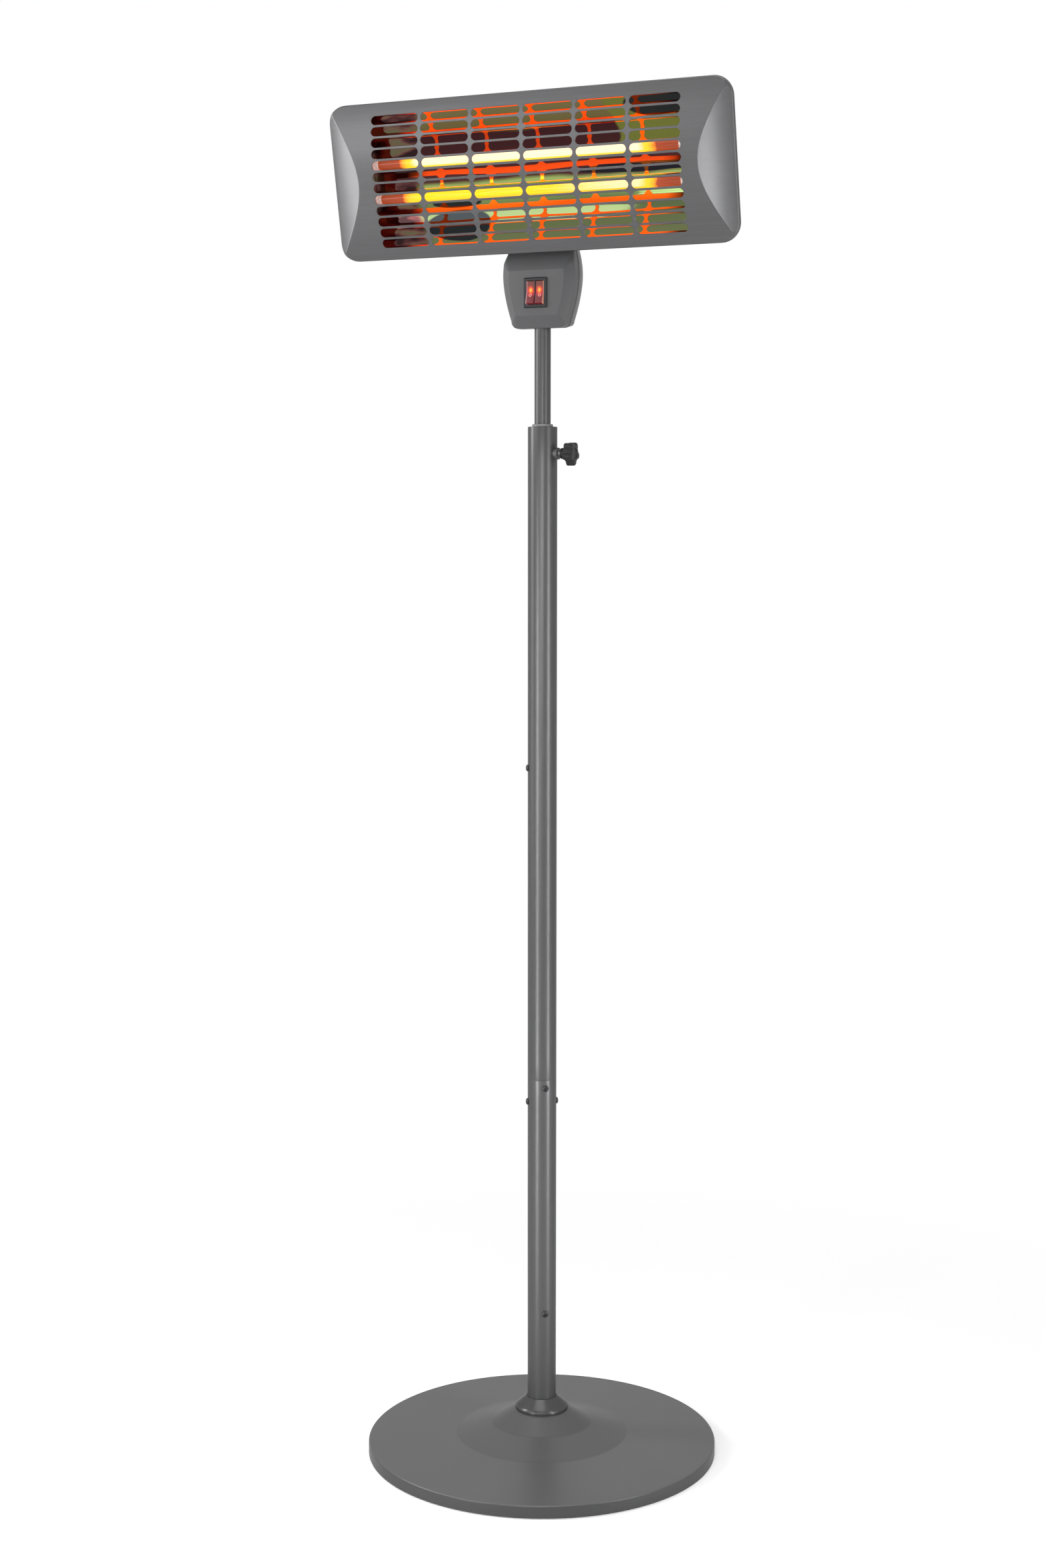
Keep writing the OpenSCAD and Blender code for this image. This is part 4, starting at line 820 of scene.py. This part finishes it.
def make_knob():
    """Lobed clamp knob on +X: rows of the lobed outline, drawn in at both rims, on a round hub and
    with a round dish in its end."""
    a = circle(200)
    lobed = knob_radius(a)
    lobed = lobed * knob_r / lobed.max()
    x0, x1 = knob_low[0], knob_high[0]
    back = x0 + knob_hub_len
    hub = rounded([(0, x0), (knob_hub_r, x0), (knob_hub_r, back)], 0.8, 4, closed=False)
    head = rounded([(5.0, back), (0.0, back), (0.0, x1 - 0.6), (3.6, x1)], [0, 1.6, 2.2, 0], 7,
                   closed=False)
    dish = rounded([(7.6, x1), (7.0, x1 - 1.2), (0, x1 - 1.2)], 0.4, 4, closed=False)
    rows = ([(r + 0 * a, x) for r, x in hub] + [(lobed - inset, x) for inset, x in head]
            + [(r + 0 * a, x) for r, x in dish])
    loops = [stack([x + 0 * a, r * np.cos(a), clamp_z + r * np.sin(a)], -1) for r, x in rows]
    make_piece("star_knob", [ring_patch(loops)], "clamp_knob", "knob_plastic", "clamp_knob",
               sharp=50)


# --- control box


def box_half_width(h):
    """Half width of the box at a height above its underside: it swells and draws in again."""
    below, above = clip([(box_belly_h - h) / box_belly_h,
                         (h - box_belly_h) / (box_h - box_belly_h)], 0, 1)
    return (box_belly_w - (box_belly_w - box_foot_w) * below ** 1.7
            - (box_belly_w - box_head_w) * above ** 2)


def box_loop(bottom, top, in_side, corner, y):
    """A closed loop round the box at depth y: half width less in_side, corners rounded, between
    two heights. The right half runs up from the bottom's middle, and the left mirrors it."""
    arc = np.radians(linspace(0, 90, 9))
    low_x = box_half_width(np.array(bottom + corner)) - in_side - corner
    high_x = box_half_width(np.array(top - corner)) - in_side - corner
    side_h = linspace(bottom + corner, top - corner, 20)[1:-1]
    x = concatenate([low_x * linspace(0, 1, 5)[:-1], low_x + corner * np.sin(arc),
                     box_half_width(side_h) - in_side,
                     high_x + corner * np.cos(arc), high_x * linspace(1, 0, 5)[1:]])
    h = concatenate([full(4, bottom), bottom + corner * (1 - np.cos(arc)), side_h,
                     top - corner * (1 - np.sin(arc)), full(4, top)])
    x = concatenate([x, -x[-2:0:-1]])
    h = concatenate([h, h[-2:0:-1]])
    return column_stack([x, full(len(x), y), box_z + h])


def rear_loop(in_side, y):
    """The box's outline at depth y, drawn in by in_side all round."""
    return box_loop(in_side, box_h - in_side, in_side, max(box_corner_r - in_side, 1.5), y)


def along_y(patches, x, h):
    """Patches along +Z, turned to +Y and moved to a point of the box's face."""
    return moved(patches, (x, 0, box_z + h), TO_PLUS_Y)


def at_posts(patches):
    """Patches along +Z, repeated at the four screw posts of the box."""
    return sum([along_y(patches, side * x, h) for side in (-1, 1) for x, h in shell_posts], [])


def mouth_cutter():
    """The opening in the box's top for the head's bracket, and the hole for the mast."""
    block = box_patches((-mouth_w, mouth_front, box_z + box_h - 8.8),
                        (mouth_w, mouth_back, box_z + box_h + 5))
    return block + [rod_patch(mast_r + 0.3, box_z - 2, box_z + 6, 0, 64)]


def make_box():
    """Two shells, each of outer loops and inner loops joined at the seam, a tongue in the seam in
    painted shade, and the screw posts inside."""
    slope_top = panel_top + bevel_d / (box_front_d - 2) * (box_h - panel_top)

    def front(t, lip):
        rim = (t, box_h - t, t, box_corner_r - t)
        return [box_loop(*rim, 0), box_loop(*rim, -2),
                box_loop(t, slope_top - t, t, box_corner_r - t, bevel_d - box_front_d + lip),
                box_loop(panel_bottom + lip, panel_top - lip, bevel_w + lip, 3, t - box_front_d)]

    def rear(t, seam):
        return [rear_loop(seam, seam_w), rear_loop(t + rear_draft, box_back_d - back_bevel),
                rear_loop(t + rear_draft + back_bevel_in, box_back_d - t)]

    half_w, half_h = bezel_w / 2 - 1.5, bezel_h / 2 - 1.5
    switch_cut = box_patches((-half_w, -box_front_d - 3, switch_z - half_h),
                             (half_w, -10, switch_z + half_h))
    gland_cut = along_y([rod_patch(gland_r, *cut_y, 0, 48)], gland_x, gland_h)
    wells = at_posts([rod_patch(well_r, well_y, cut_y[1], 0, 32)])
    for name, shell, edge, cutter in (("front", front, (0, 1), switch_cut),
                                      ("rear", rear, (0.12, box_wall), gland_cut + wells)):
        outer, inner = [shell(t, e) for t, e in zip((0, box_wall), edge)]
        make_piece(f"box_{name}_cover", drum(outer[::-1] + inner), "mast", "box_plastic",
                   f"box_{name}_shell", bevel=(1.6, 4, 24), cutter=mouth_cutter() + cutter)
    tongue = [rear_loop(inset, y) for inset, y in ((1.3, seam_w + 0.3), (1.3, 0), (1.9, 0),
                                                   (1.9, seam_w + 0.3))]
    make_piece("box_seam_tongue", [ring_patch(tongue, True)], "mast", "box_plastic",
               finishes=[SEAM_SHADE], cutter=mouth_cutter())
    for name, low, high in (("front", -12, -0.2), ("rear", 0.2, 6)):
        post = tube_patch(post_r, post_wall, low, high, 0.2, 24)
        make_piece(f"box_{name}_posts", at_posts([post]), "mast", "box_plastic")


def rect_loop(half_w, half_h, corner, y, at=(0, 0)):
    """A rounded rectangle in the XZ plane at depth y, centred on at."""
    square = [(half_w, -half_h), (half_w, half_h), (-half_w, half_h), (-half_w, -half_h)]
    loop = rounded(square, corner, 8)
    return column_stack([loop[:, 0] + at[0], full(len(loop), y), loop[:, 1] + at[1]])


def make_switch():
    """Bezel with its two wells, as loops from the front opening round to the back of each well."""
    half_w, half_h = bezel_w / 2, bezel_h / 2
    loops = [rect_loop(half_w - inset, half_h - inset, corner, y, (0, switch_z))
             for inset, corner, y in ((1.2, 1.0, bezel_y), (0, 1.6, bezel_y + 1.2),
                                      (0, 1.6, -box_front_d - 0.02), (2, 1.0, -box_front_d - 0.02),
                                      (2, 1.0, -box_front_d + 20))]
    room_h = half_h - bezel_border
    wells = sum([box_patches((s * rocker_x - rocker_room_w / 2, bezel_y - 2, switch_z - room_h),
                             (s * rocker_x + rocker_room_w / 2, bezel_y + 14, switch_z + room_h))
                 for s in (-1, 1)], [])
    make_piece("switch_bezel", drum(loops), "mast", "switch_black", "switch_housing", cutter=wells)


def rocker_outline():
    """Section of a rocker in (y, z): flat upper face, lower face leaning out by the swing, and
    round ends struck from the pivot."""
    face = rocker_face_y - pivot_y
    top = asin(-face / rocker_r)
    upper = linspace(pi / 2 + top, pi / 2 - asin(rocker_back / rocker_r), 10)
    s, c = sin(rocker_swing), cos(rocker_swing)
    low = asin(-face * c / rocker_r) + rocker_swing
    lower = linspace(-pi / 2 + asin(rocker_back / rocker_r), -pi / 2 - low, 10)
    arc = concatenate([upper, lower])
    ring = column_stack([np.cos(arc), np.sin(arc)]) * rocker_r
    return concatenate([ring, [(face, 0)]])


def make_rockers():
    """Each rocker is its section drawn along X with rounded edges, and carries a raised O."""
    y, z = (rocker_outline() + (pivot_y, switch_z)).T
    mark = turned(rounded([(1.3, -0.2), (1.3, 0.12), (2.1, 0.12), (2.1, -0.2)], 0.1, 3), 40)
    down = 3.4
    lean = rotation(-degrees(rocker_swing), "X") @ TO_MINUS_Y
    for name, side in (("left", -1), ("right", 1)):
        x = side * rocker_x
        body = drum([column_stack([x + end * rocker_w / 2 + 0 * y, y, z]) for end in (-1, 1)])
        make_piece(f"rocker_cap_{name}", body, f"rocker_{name}", "lit_red_plastic",
                   f"rocker_{name}", [lit_rocker(f"lit red rocker {name}", x, side)],
                   bevel=(0.5, 3, 30))
        at = (x, rocker_face_y - down * tan(rocker_swing), switch_z - down)
        make_piece(f"rocker_mark_{name}", moved([mark], at, lean), f"rocker_{name}",
                   "lit_red_plastic", finishes=[MARK])


# --- head: grille


def bow_depth(z, depth):
    """y of the bowed sheet, a cylinder along X, at a depth behind its front."""
    return bow_r - bow - np.sqrt((bow_r - depth) ** 2 - z ** 2)


def face_depth(x, z, depth):
    """y of the sheet: the bow, or the scooped end, a cylinder along Z, if that is further back."""
    room = np.maximum((facet_r - depth) ** 2 - (np.abs(x) - facet_x) ** 2, 0)
    scoop = np.where(np.abs(x) > straight_half - 2, facet_y - np.sqrt(room), -2 * bow)
    return np.maximum(bow_depth(z, depth), scoop)


def crease_x(z, depth):
    """x at which the bow meets the scooped end."""
    rise = facet_y - bow_depth(z, depth)
    return facet_x + np.sqrt((facet_r - depth) ** 2 - rise ** 2)


slot_end_x = slot_cols * slot_pitch_x / 2
slot_end_s = slot_rows * slot_pitch_z / 2
slot_lines_s = linspace(-slot_end_s, slot_end_s, 6 * slot_rows + 1)
corner_x, corner_z = head_half_w - head_corner_r, head_half_h - head_corner_r
last_slot_turn = asin((bow_r * sin(slot_end_s / bow_r) - corner_z) / head_corner_r)
corner_turns = linspace(last_slot_turn, pi / 2, 7)[1:]
cell_half_x, cell_half_s = slot_pitch_x / 2, slot_pitch_z / 2
slot_straight = (slot_len - slot_h) / 2
cell_lines_x = concatenate([
    linspace(-cell_half_x, -slot_straight, 4), [-slot_straight / 2, 0, slot_straight / 2],
    linspace(slot_straight, cell_half_x, 4)])
slot_lines_x = np.unique(np.round(concatenate(
    [cell_lines_x + (i - (slot_cols - 1) / 2) * slot_pitch_x for i in range(slot_cols)]), 6))
END_COLS, RIM_COLS = 8, 12
crease_gap = 0.8


def sheet_rows(depth, inset):
    """Rows across the sheet from bottom to top: height in the middle, and the edge's x and z."""
    z_slots = (bow_r - depth) * np.sin(slot_lines_s / bow_r)
    z_front = bow_r * np.sin(slot_lines_s / bow_r)
    turn = np.arcsin(clip((np.abs(z_front) - corner_z) / head_corner_r, 0, 1))
    r = head_corner_r - inset
    edge_z = np.where(turn > 0, np.sign(z_front) * (corner_z + r * np.sin(turn)), z_slots)
    edge_x = corner_x + r * np.cos(turn)
    border_z = corner_z + r * np.sin(corner_turns)
    border_x = corner_x + r * np.cos(corner_turns)
    middle = concatenate([-border_z[::-1], z_slots, border_z])
    return (middle, concatenate([border_x[::-1], edge_x, border_x]),
            concatenate([-border_z[::-1], edge_z, border_z]))


def end_grid(depth, inset):
    """Grid of the sheet from the last slot column to the edge at +X, with columns at the crease."""
    middle, edge_x, edge_z = sheet_rows(depth, inset)
    crease = np.minimum(crease_x(edge_z, depth), edge_x)
    near = np.minimum(crease_gap, 0.3 * (crease - slot_end_x))
    far = np.minimum(crease_gap, 0.3 * (edge_x - crease))
    to_crease = slot_end_x + np.outer(crease - near - slot_end_x, linspace(0, 1, END_COLS))
    to_edge = (crease + far)[:, None] + np.outer(edge_x - crease - far, linspace(0, 1, RIM_COLS))
    x = concatenate([to_crease, crease[:, None], to_edge], 1)
    share = (x - slot_end_x) / (edge_x - slot_end_x)[:, None]
    z = middle[:, None] + (edge_z - middle)[:, None] * share
    return stack([x, face_depth(x, z, depth), z], -1)


def border_grid(depth, inset):
    """Grid of the sheet above the top row of slots."""
    z = concatenate([[(bow_r - depth) * sin(slot_end_s / bow_r)],
                     corner_z + (head_corner_r - inset) * np.sin(corner_turns)])
    x, z = np.meshgrid(slot_lines_x, z)
    return stack([x, bow_depth(z, depth), z], -1)


def sheet_border(depth, inset, finish):
    """The sheet round the field of slots: two ends and two borders, each a mirrored grid."""
    end, border = end_grid(depth, inset), border_grid(depth, inset)
    return [patch(end, finish), patch(end * (-1, 1, 1), finish),
            patch(border, finish), patch(border * (1, 1, -1), finish)]


def half_turned(x, s):
    """A ring round a slot from one half of it, which is turned by 180 degrees for the other."""
    return concatenate([x, -x]), concatenate([s, -s])


slot_middle = np.array([slot_straight / 2, 0, -slot_straight / 2])


def slot_ring(r):
    """Points round a slot's stadium outline of radius r, about the slot's middle."""
    a = np.radians(linspace(-90, 90, 13))
    return half_turned(concatenate([slot_straight + r * np.cos(a), slot_middle]),
                       concatenate([r * np.sin(a), full(3, r)]))


def cell_ring():
    """Points round a slot's cell, each facing its point of the slot's outline."""
    third = linspace(slot_straight, cell_half_x, 4)
    return half_turned(
        concatenate([third[:3], full(7, cell_half_x), third[2::-1], slot_middle]),
        concatenate([full(3, -cell_half_s), linspace(-cell_half_s, cell_half_s, 7),
                     full(6, cell_half_s)]))


def slot_field():
    """All slot cells at once: rings of the cell's outline, the slot's softened edge, its wall and
    the cell's outline on the back, laid round the bow by arc length."""
    edge, r = 0.4, slot_h / 2
    rings = [(cell_ring(), 0), (slot_ring(r + edge), 0), (slot_ring(r), edge),
             (slot_ring(r), sheet_t), (cell_ring(), sheet_t)]
    x, s = stack([ring for ring, _ in rings], 1)
    depth = np.array([d for _, d in rings])[:, None]
    centres = np.meshgrid((np.arange(slot_cols) - (slot_cols - 1) / 2) * slot_pitch_x,
                          (np.arange(slot_rows) - (slot_rows - 1) / 2) * slot_pitch_z)
    across, up = [c.reshape(-1, 1, 1) for c in centres]
    turn = (s + up) / bow_r
    points = stack([x + across, bow_r - bow - (bow_r - depth) * np.cos(turn),
                    (bow_r - depth) * np.sin(turn)], -1)
    count, ring_count, around = points.shape[:3]
    starts = np.arange(count)[:, None, None] * ring_count * around
    faces = grid_faces(ring_count, around, wrap_cols=True) + starts
    parts = np.split(faces, [2 * around, 3 * around], 1)
    return [(points.reshape(-1, 3), part.reshape(-1, 4), finish)
            for part, finish in zip(parts, (0, 2, 1))]


def outline_loop(inset):
    """x and z round the head's outline, drawn in by inset, from the right end upwards."""
    _, edge_x, edge_z = sheet_rows(0, inset)
    reach = concatenate([slot_end_x + (corner_x - crease_gap - slot_end_x)
                         * linspace(0, 1, END_COLS), [corner_x]])
    top_x = concatenate([reach[:0:-1], slot_lines_x[::-1], -reach[1:]])
    top_z = full(len(top_x) - 2, head_half_h - inset)
    x = concatenate([edge_x, top_x[1:-1], -edge_x[::-1], -top_x[1:-1]])
    z = concatenate([edge_z, top_z, edge_z[::-1], -top_z])
    return x, z


def rim_patch():
    """The rounded rim, the skirt behind it and its lip, as loops of the outline, each drawn in and
    set behind the face or at a depth of its own."""
    edge, t, back = 1.5, sheet_t, skirt_d

    def loop(inset, behind, depth=0, flat=False):
        x, z = outline_loop(inset)
        return column_stack([x, behind + (0 * x if flat else face_depth(x, z, depth)), z])

    return ring_patch(
        [loop(edge * (1 - sin(a)), edge * (1 - cos(a))) for a in np.radians(linspace(0, 90, 6))]
        + [loop(inset, y, flat=True) for inset, y in (
            (0, back - 1.2), (0.35, back - 0.35), (1.2, back), (lip_w, back), (lip_w, back - t),
            (2.0, back - t), (t, back - 2.0))]
        + [loop(t, 0.8, t), loop(2.0, 0, t)])


def make_head_piece(name, patches, *details, **options):
    make_piece(name, on_head(patches), "head", *details, **options)


def make_grille():
    patches = slot_field() + sheet_border(0, 1.5, 0) + sheet_border(sheet_t, 2.0, 1) + [rim_patch()]
    make_head_piece("grille_sheet", patches, "painted_steel", "front_grille", FACE_FINISHES, 38)


# --- head: housing, mirror, elements


def make_housing():
    """Rear housing: flange, tapered tub with rounded edges, back with two groups of vents."""
    t = housing_t
    flange = (head_half_w - 2, head_half_h - 2, head_corner_r)
    outer = [rect_loop(*flange, flange_y), rect_loop(*flange, flange_y + t),
             rect_loop(tub_w, tub_h, tub_r, flange_y + t),
             rect_loop(tub_back_w, tub_back_h, tub_back_r, housing_d)]
    inner = [rect_loop(tub_w - t, tub_h - t, tub_r, flange_y),
             rect_loop(tub_back_w - t, tub_back_h - t, tub_back_r, housing_d - t)]
    vents = sum([drum([rect_loop(vent_len / 2, vent_h / 2, vent_h / 2, y, centre)
                       for y in (housing_d - 6, housing_d + 4)]) for centre in vent_centres], [])
    make_head_piece("housing_tub", drum(outer[::-1] + inner), "painted_steel", "rear_housing",
                    bevel=(2.5, 4, 24), cutter=on_head(vents))


def louvre_patches(x, z):
    """One pressed louvre hood over a vent: a quarter ellipsoid sheet, open downwards."""
    u, v = np.meshgrid(linspace(-1, 1, 17), linspace(0, 1, 7))
    rise = np.sqrt(np.maximum(1 - np.abs(u) ** 3, 0)) * np.sqrt(np.maximum(1 - v ** 2, 0))
    outer, inner = [stack([x + u * (vent_len / 2 + 1.5 - thin), y + lift * rise,
                           z - vent_h / 2 - 0.4 + v * (vent_h + 1.6 - thin)], -1)
                    for y, lift, thin in ((housing_d, 2.4, 0), (housing_d - 0.4, 2.0, 0.7))]
    return sheet_patches(outer, inner)


def make_louvres():
    patches = sum([louvre_patches(*centre) for centre in vent_centres], [])
    make_head_piece("housing_louvres", patches, "painted_steel", sharp=50)


# Height on the mirror and its slope there: lips, a side wall above and below, a wavy floor between
mirror_slopes = np.array([
    (-90, -0.01), (-84, 0.01), (-80, 0.08), (-64, 0.08), (-60, 0.25), (-49, 0.26), (-45, 0.01),
    (-40, -0.04), (-35, -0.085), (-30, -0.077), (-25, -0.034), (-17, 0.05), (-16.2, -0.16),
    (-13.0, -0.16), (-12.2, 0.04), (-10, 0.031), (0, -0.018),
    (5, -0.066), (10, -0.118), (15, -0.117), (20, -0.068), (30, 0.029), (41, 0.02), (48, -0.22),
    (56, -0.265), (60, -0.076), (70, -0.012), (80, -0.06), (84, 0.05), (90, 0.05)])
mirror_floor_y = 13.3


def make_reflector():
    """Polished trough behind the elements: the sum of the slopes over the height is its depth, and
    slow waves of a fraction of a millimetre run along it."""
    x = linspace(-reflector_half_w, reflector_half_w, 200)
    z = linspace(-90, 90, 181)
    depth = np.cumsum(np.interp(z, *mirror_slopes.T)) * (z[1] - z[0])
    depth += mirror_floor_y - depth[np.abs(z) < 40].mean()
    x, z = np.meshgrid(x, z)
    waves = 0.25 * np.sin(x / 38 + 2.2) * np.sin(z / 19 + 0.4)
    front = stack([x, depth[:, None] + waves, z], -1)
    make_head_piece("mirror_trough", sheet_patches(front, front + (0, reflector_t, 0)),
                    "mirror_aluminium", "reflector", sharp=40)


def at_element(patches, side, turn=TO_PLUS_X):
    """Shapes along +Z, turned and moved to the axis of one element."""
    return moved(patches, (0, element_y, side * element_z), turn)


def coil_patch():
    """A close-wound helix: x runs evenly, the wire's centre circles the axis, and a ring of the
    wire's section stands across it."""
    turns, per_turn, wire = 2 * coil_half * 0.8, 12, 0.45
    t = linspace(0, 1, int(turns * per_turn))[:, None]
    a = t * turns * 2 * pi
    b = circle(5)[None, :]
    r = coil_r - wire + wire * np.cos(b)
    return ring_patch(stack([r * np.cos(a), r * np.sin(a),
                             -coil_half + 2 * coil_half * t + wire * np.sin(b) + 0 * r], -1))


def make_elements():
    """Each element's coil with its straight leads, in its quartz tube."""
    leads = [rod_patch(1.2, *sorted((end * (coil_half - 2), end * quartz_half)), 0.2, 16)
             for end in (-1, 1)]
    glass = tube_patch(quartz_r, quartz_wall, -quartz_half, quartz_half, 0.3, 64)
    for name, side, hot, quartz in (("upper", 1, (), ()),
                                    ("lower", -1, [HOT_LOWER], [QUARTZ_LOWER])):
        make_head_piece(f"wound_coil_{name}", at_element([coil_patch(), *leads], side),
                        "glowing_wire", f"heating_coil_{name}", hot)
        make_head_piece(f"quartz_{name}", at_element([glass], side), "quartz",
                        f"quartz_tube_{name}", quartz)


def make_caps():
    """Ceramic end caps: a stepped collar, a waist and a rounded end, hollow for the tube."""
    end, bore = cap_x + cap_len, quartz_r + 0.1
    outline = rounded([(bore, cap_x), (cap_r - 0.8, cap_x), (cap_r - 0.8, cap_x + 5),
                       (cap_r, cap_x + 6), (cap_r, end - 4), (cap_r - 2.5, end), (0, end),
                       (0, quartz_half + 0.1), (bore, quartz_half + 0.1)],
                      [0.3, 0.6, 0.4, 0.4, 1.5, 1.0, 0, 0, 0.2])
    caps = sum([at_element([turned(outline, 64)], side, turn)
                for side in (-1, 1) for turn in (TO_PLUS_X, TO_MINUS_X)], [])
    make_head_piece("steatite_caps", caps, "ceramic", "ceramic_caps")


# --- stage and camera


CAMERA_AT, CAMERA_TURN, CAMERA_DROP = (1.35158, -2.96294, 1.31124), 25, 6.34
FILL, SHOWN = 0.27, 1.0


def white_world():
    """White for the camera and in reflections, and a softer grey as fill light."""
    world = bpy.data.worlds.new("studio")
    bpy.context.scene.world = world
    world.use_nodes = True
    nodes = Nodes(world.node_tree)
    back = nodes.tree.nodes["Background"].inputs
    nodes.feed(back["Color"], (1, 1, 1, 1))
    levels = {"Value": nodes.seen(), "To Min": FILL, "To Max": SHOWN}
    nodes.feed(back["Strength"], nodes.node("MapRange", levels))


# Name, turn in degrees from the face's direction towards +X, distance, height and size in metres,
# watts, cone in degrees
LAMPS = (
    ("near strip left", -13.6, 1.25, 0.72, (0.18, 1.1), 1.2, 50),
    ("near strip right", 74, 1.5, 0.95, (0.25, 1.9), 9, 180),
    ("low strip right", 74, 1.4, 0.76, (0.2, 1.16), 0.8, 50),
    ("foot strip left", -13.6, 0.62, 0.27, (0.1, 0.46), 0.22, 60),
    ("foot strip right", 74, 0.62, 0.27, (0.1, 0.46), 0.2, 60),
    ("near card", 17, 1.6, 1.25, (0.3, 0.35), 2.6, 180),
    ("right card", 26, 1.6, 1.36, (0.25, 0.35), 3.8, 180),
    ("left card", -56, 1.6, 1.32, (0.2, 0.35), 0.12, 26),
    ("side panel low", -62, 3.2, 1.1, (0.9, 1.2), 12, 180),
    ("side panel high", -65, 3.0, 2.2, (0.9, 1.3), 47, 180),
    ("front panel high", -30, 3.2, 2.3, (1.0, 1.0), 11.5, 180),
    ("front panel low", 10, 3.2, 0.9, (0.8, 1.0), 9, 180),
    ("overhead panel", -10, 0.6, 4.2, (2.2, 1.6), 30, 180),
)
LEFT_FACET = (-0.27, -0.04, 1.77)


def make_floor():
    """A pale floor with the heater's shadow near the base, which turns plain white further out."""
    size = 30.0
    mesh = bpy.data.meshes.new("floor")
    mesh.from_pydata([(-size, -size, 0), (size, -size, 0), (size, size, 0), (-size, size, 0)], [],
                     [(0, 1, 2, 3)])
    f = Finish("pale floor", (0.9, 0.9, 0.9), Roughness=0.9, Specular_IOR_Level=0.1)
    shown = f.seen()
    f.glow((1, 1, 1, 1), shown * 0.35 * SHOWN)
    fade = ((f.length(f.place()) - 0.45) * 1.1).limited() * shown
    f.blend(fade, None, f.node("Emission", {"Color": (1, 1, 1, 1), "Strength": SHOWN}))
    mesh.materials.append(f.material)
    add_object("floor", mesh)


def make_lamps():
    """Soft rectangular lamps round the heater, at a turn from the face's direction towards +X. Each
    looks at the pole, or one at the left facet, and shines into a cone."""
    for name, turn, away, height, size, power, spread in LAMPS:
        lamp = bpy.data.lights.new(name, "AREA")
        lamp.shape = "RECTANGLE"
        lamp.size, lamp.size_y = size
        lamp.energy, lamp.spread = power, radians(spread)
        made = add_object(name, lamp)
        at = Vector((away * sin(radians(turn)), -away * cos(radians(turn)), height))
        aim = Vector(LEFT_FACET if name == "left card" else (0, 0, min(height, 1.7)))
        made.location = at
        made.rotation_euler = (aim - at).to_track_quat("-Z", "Y").to_euler()
        made.visible_camera = False


def make_camera():
    """A camera turned from the face's direction towards +X, at 1.3 m height, looking down."""
    lens = bpy.data.cameras.new("camera")
    lens.sensor_width, lens.lens = 36.0, 54.63
    lens.clip_start, lens.clip_end = 0.1, 100
    camera = add_object("camera", lens)
    camera.location = CAMERA_AT
    camera.rotation_euler = (radians(90 - CAMERA_DROP), 0, radians(CAMERA_TURN))
    bpy.context.scene.camera = camera


bpy.context.scene.view_settings.view_transform = "Standard"
for make in (make_camera, white_world, make_floor, make_lamps, finish_cad_nodes, make_base,
             make_pole, make_screws, make_knob, make_box, make_switch, make_rockers, make_grille,
             make_housing, make_louvres, make_reflector, make_elements, make_caps):
    make()
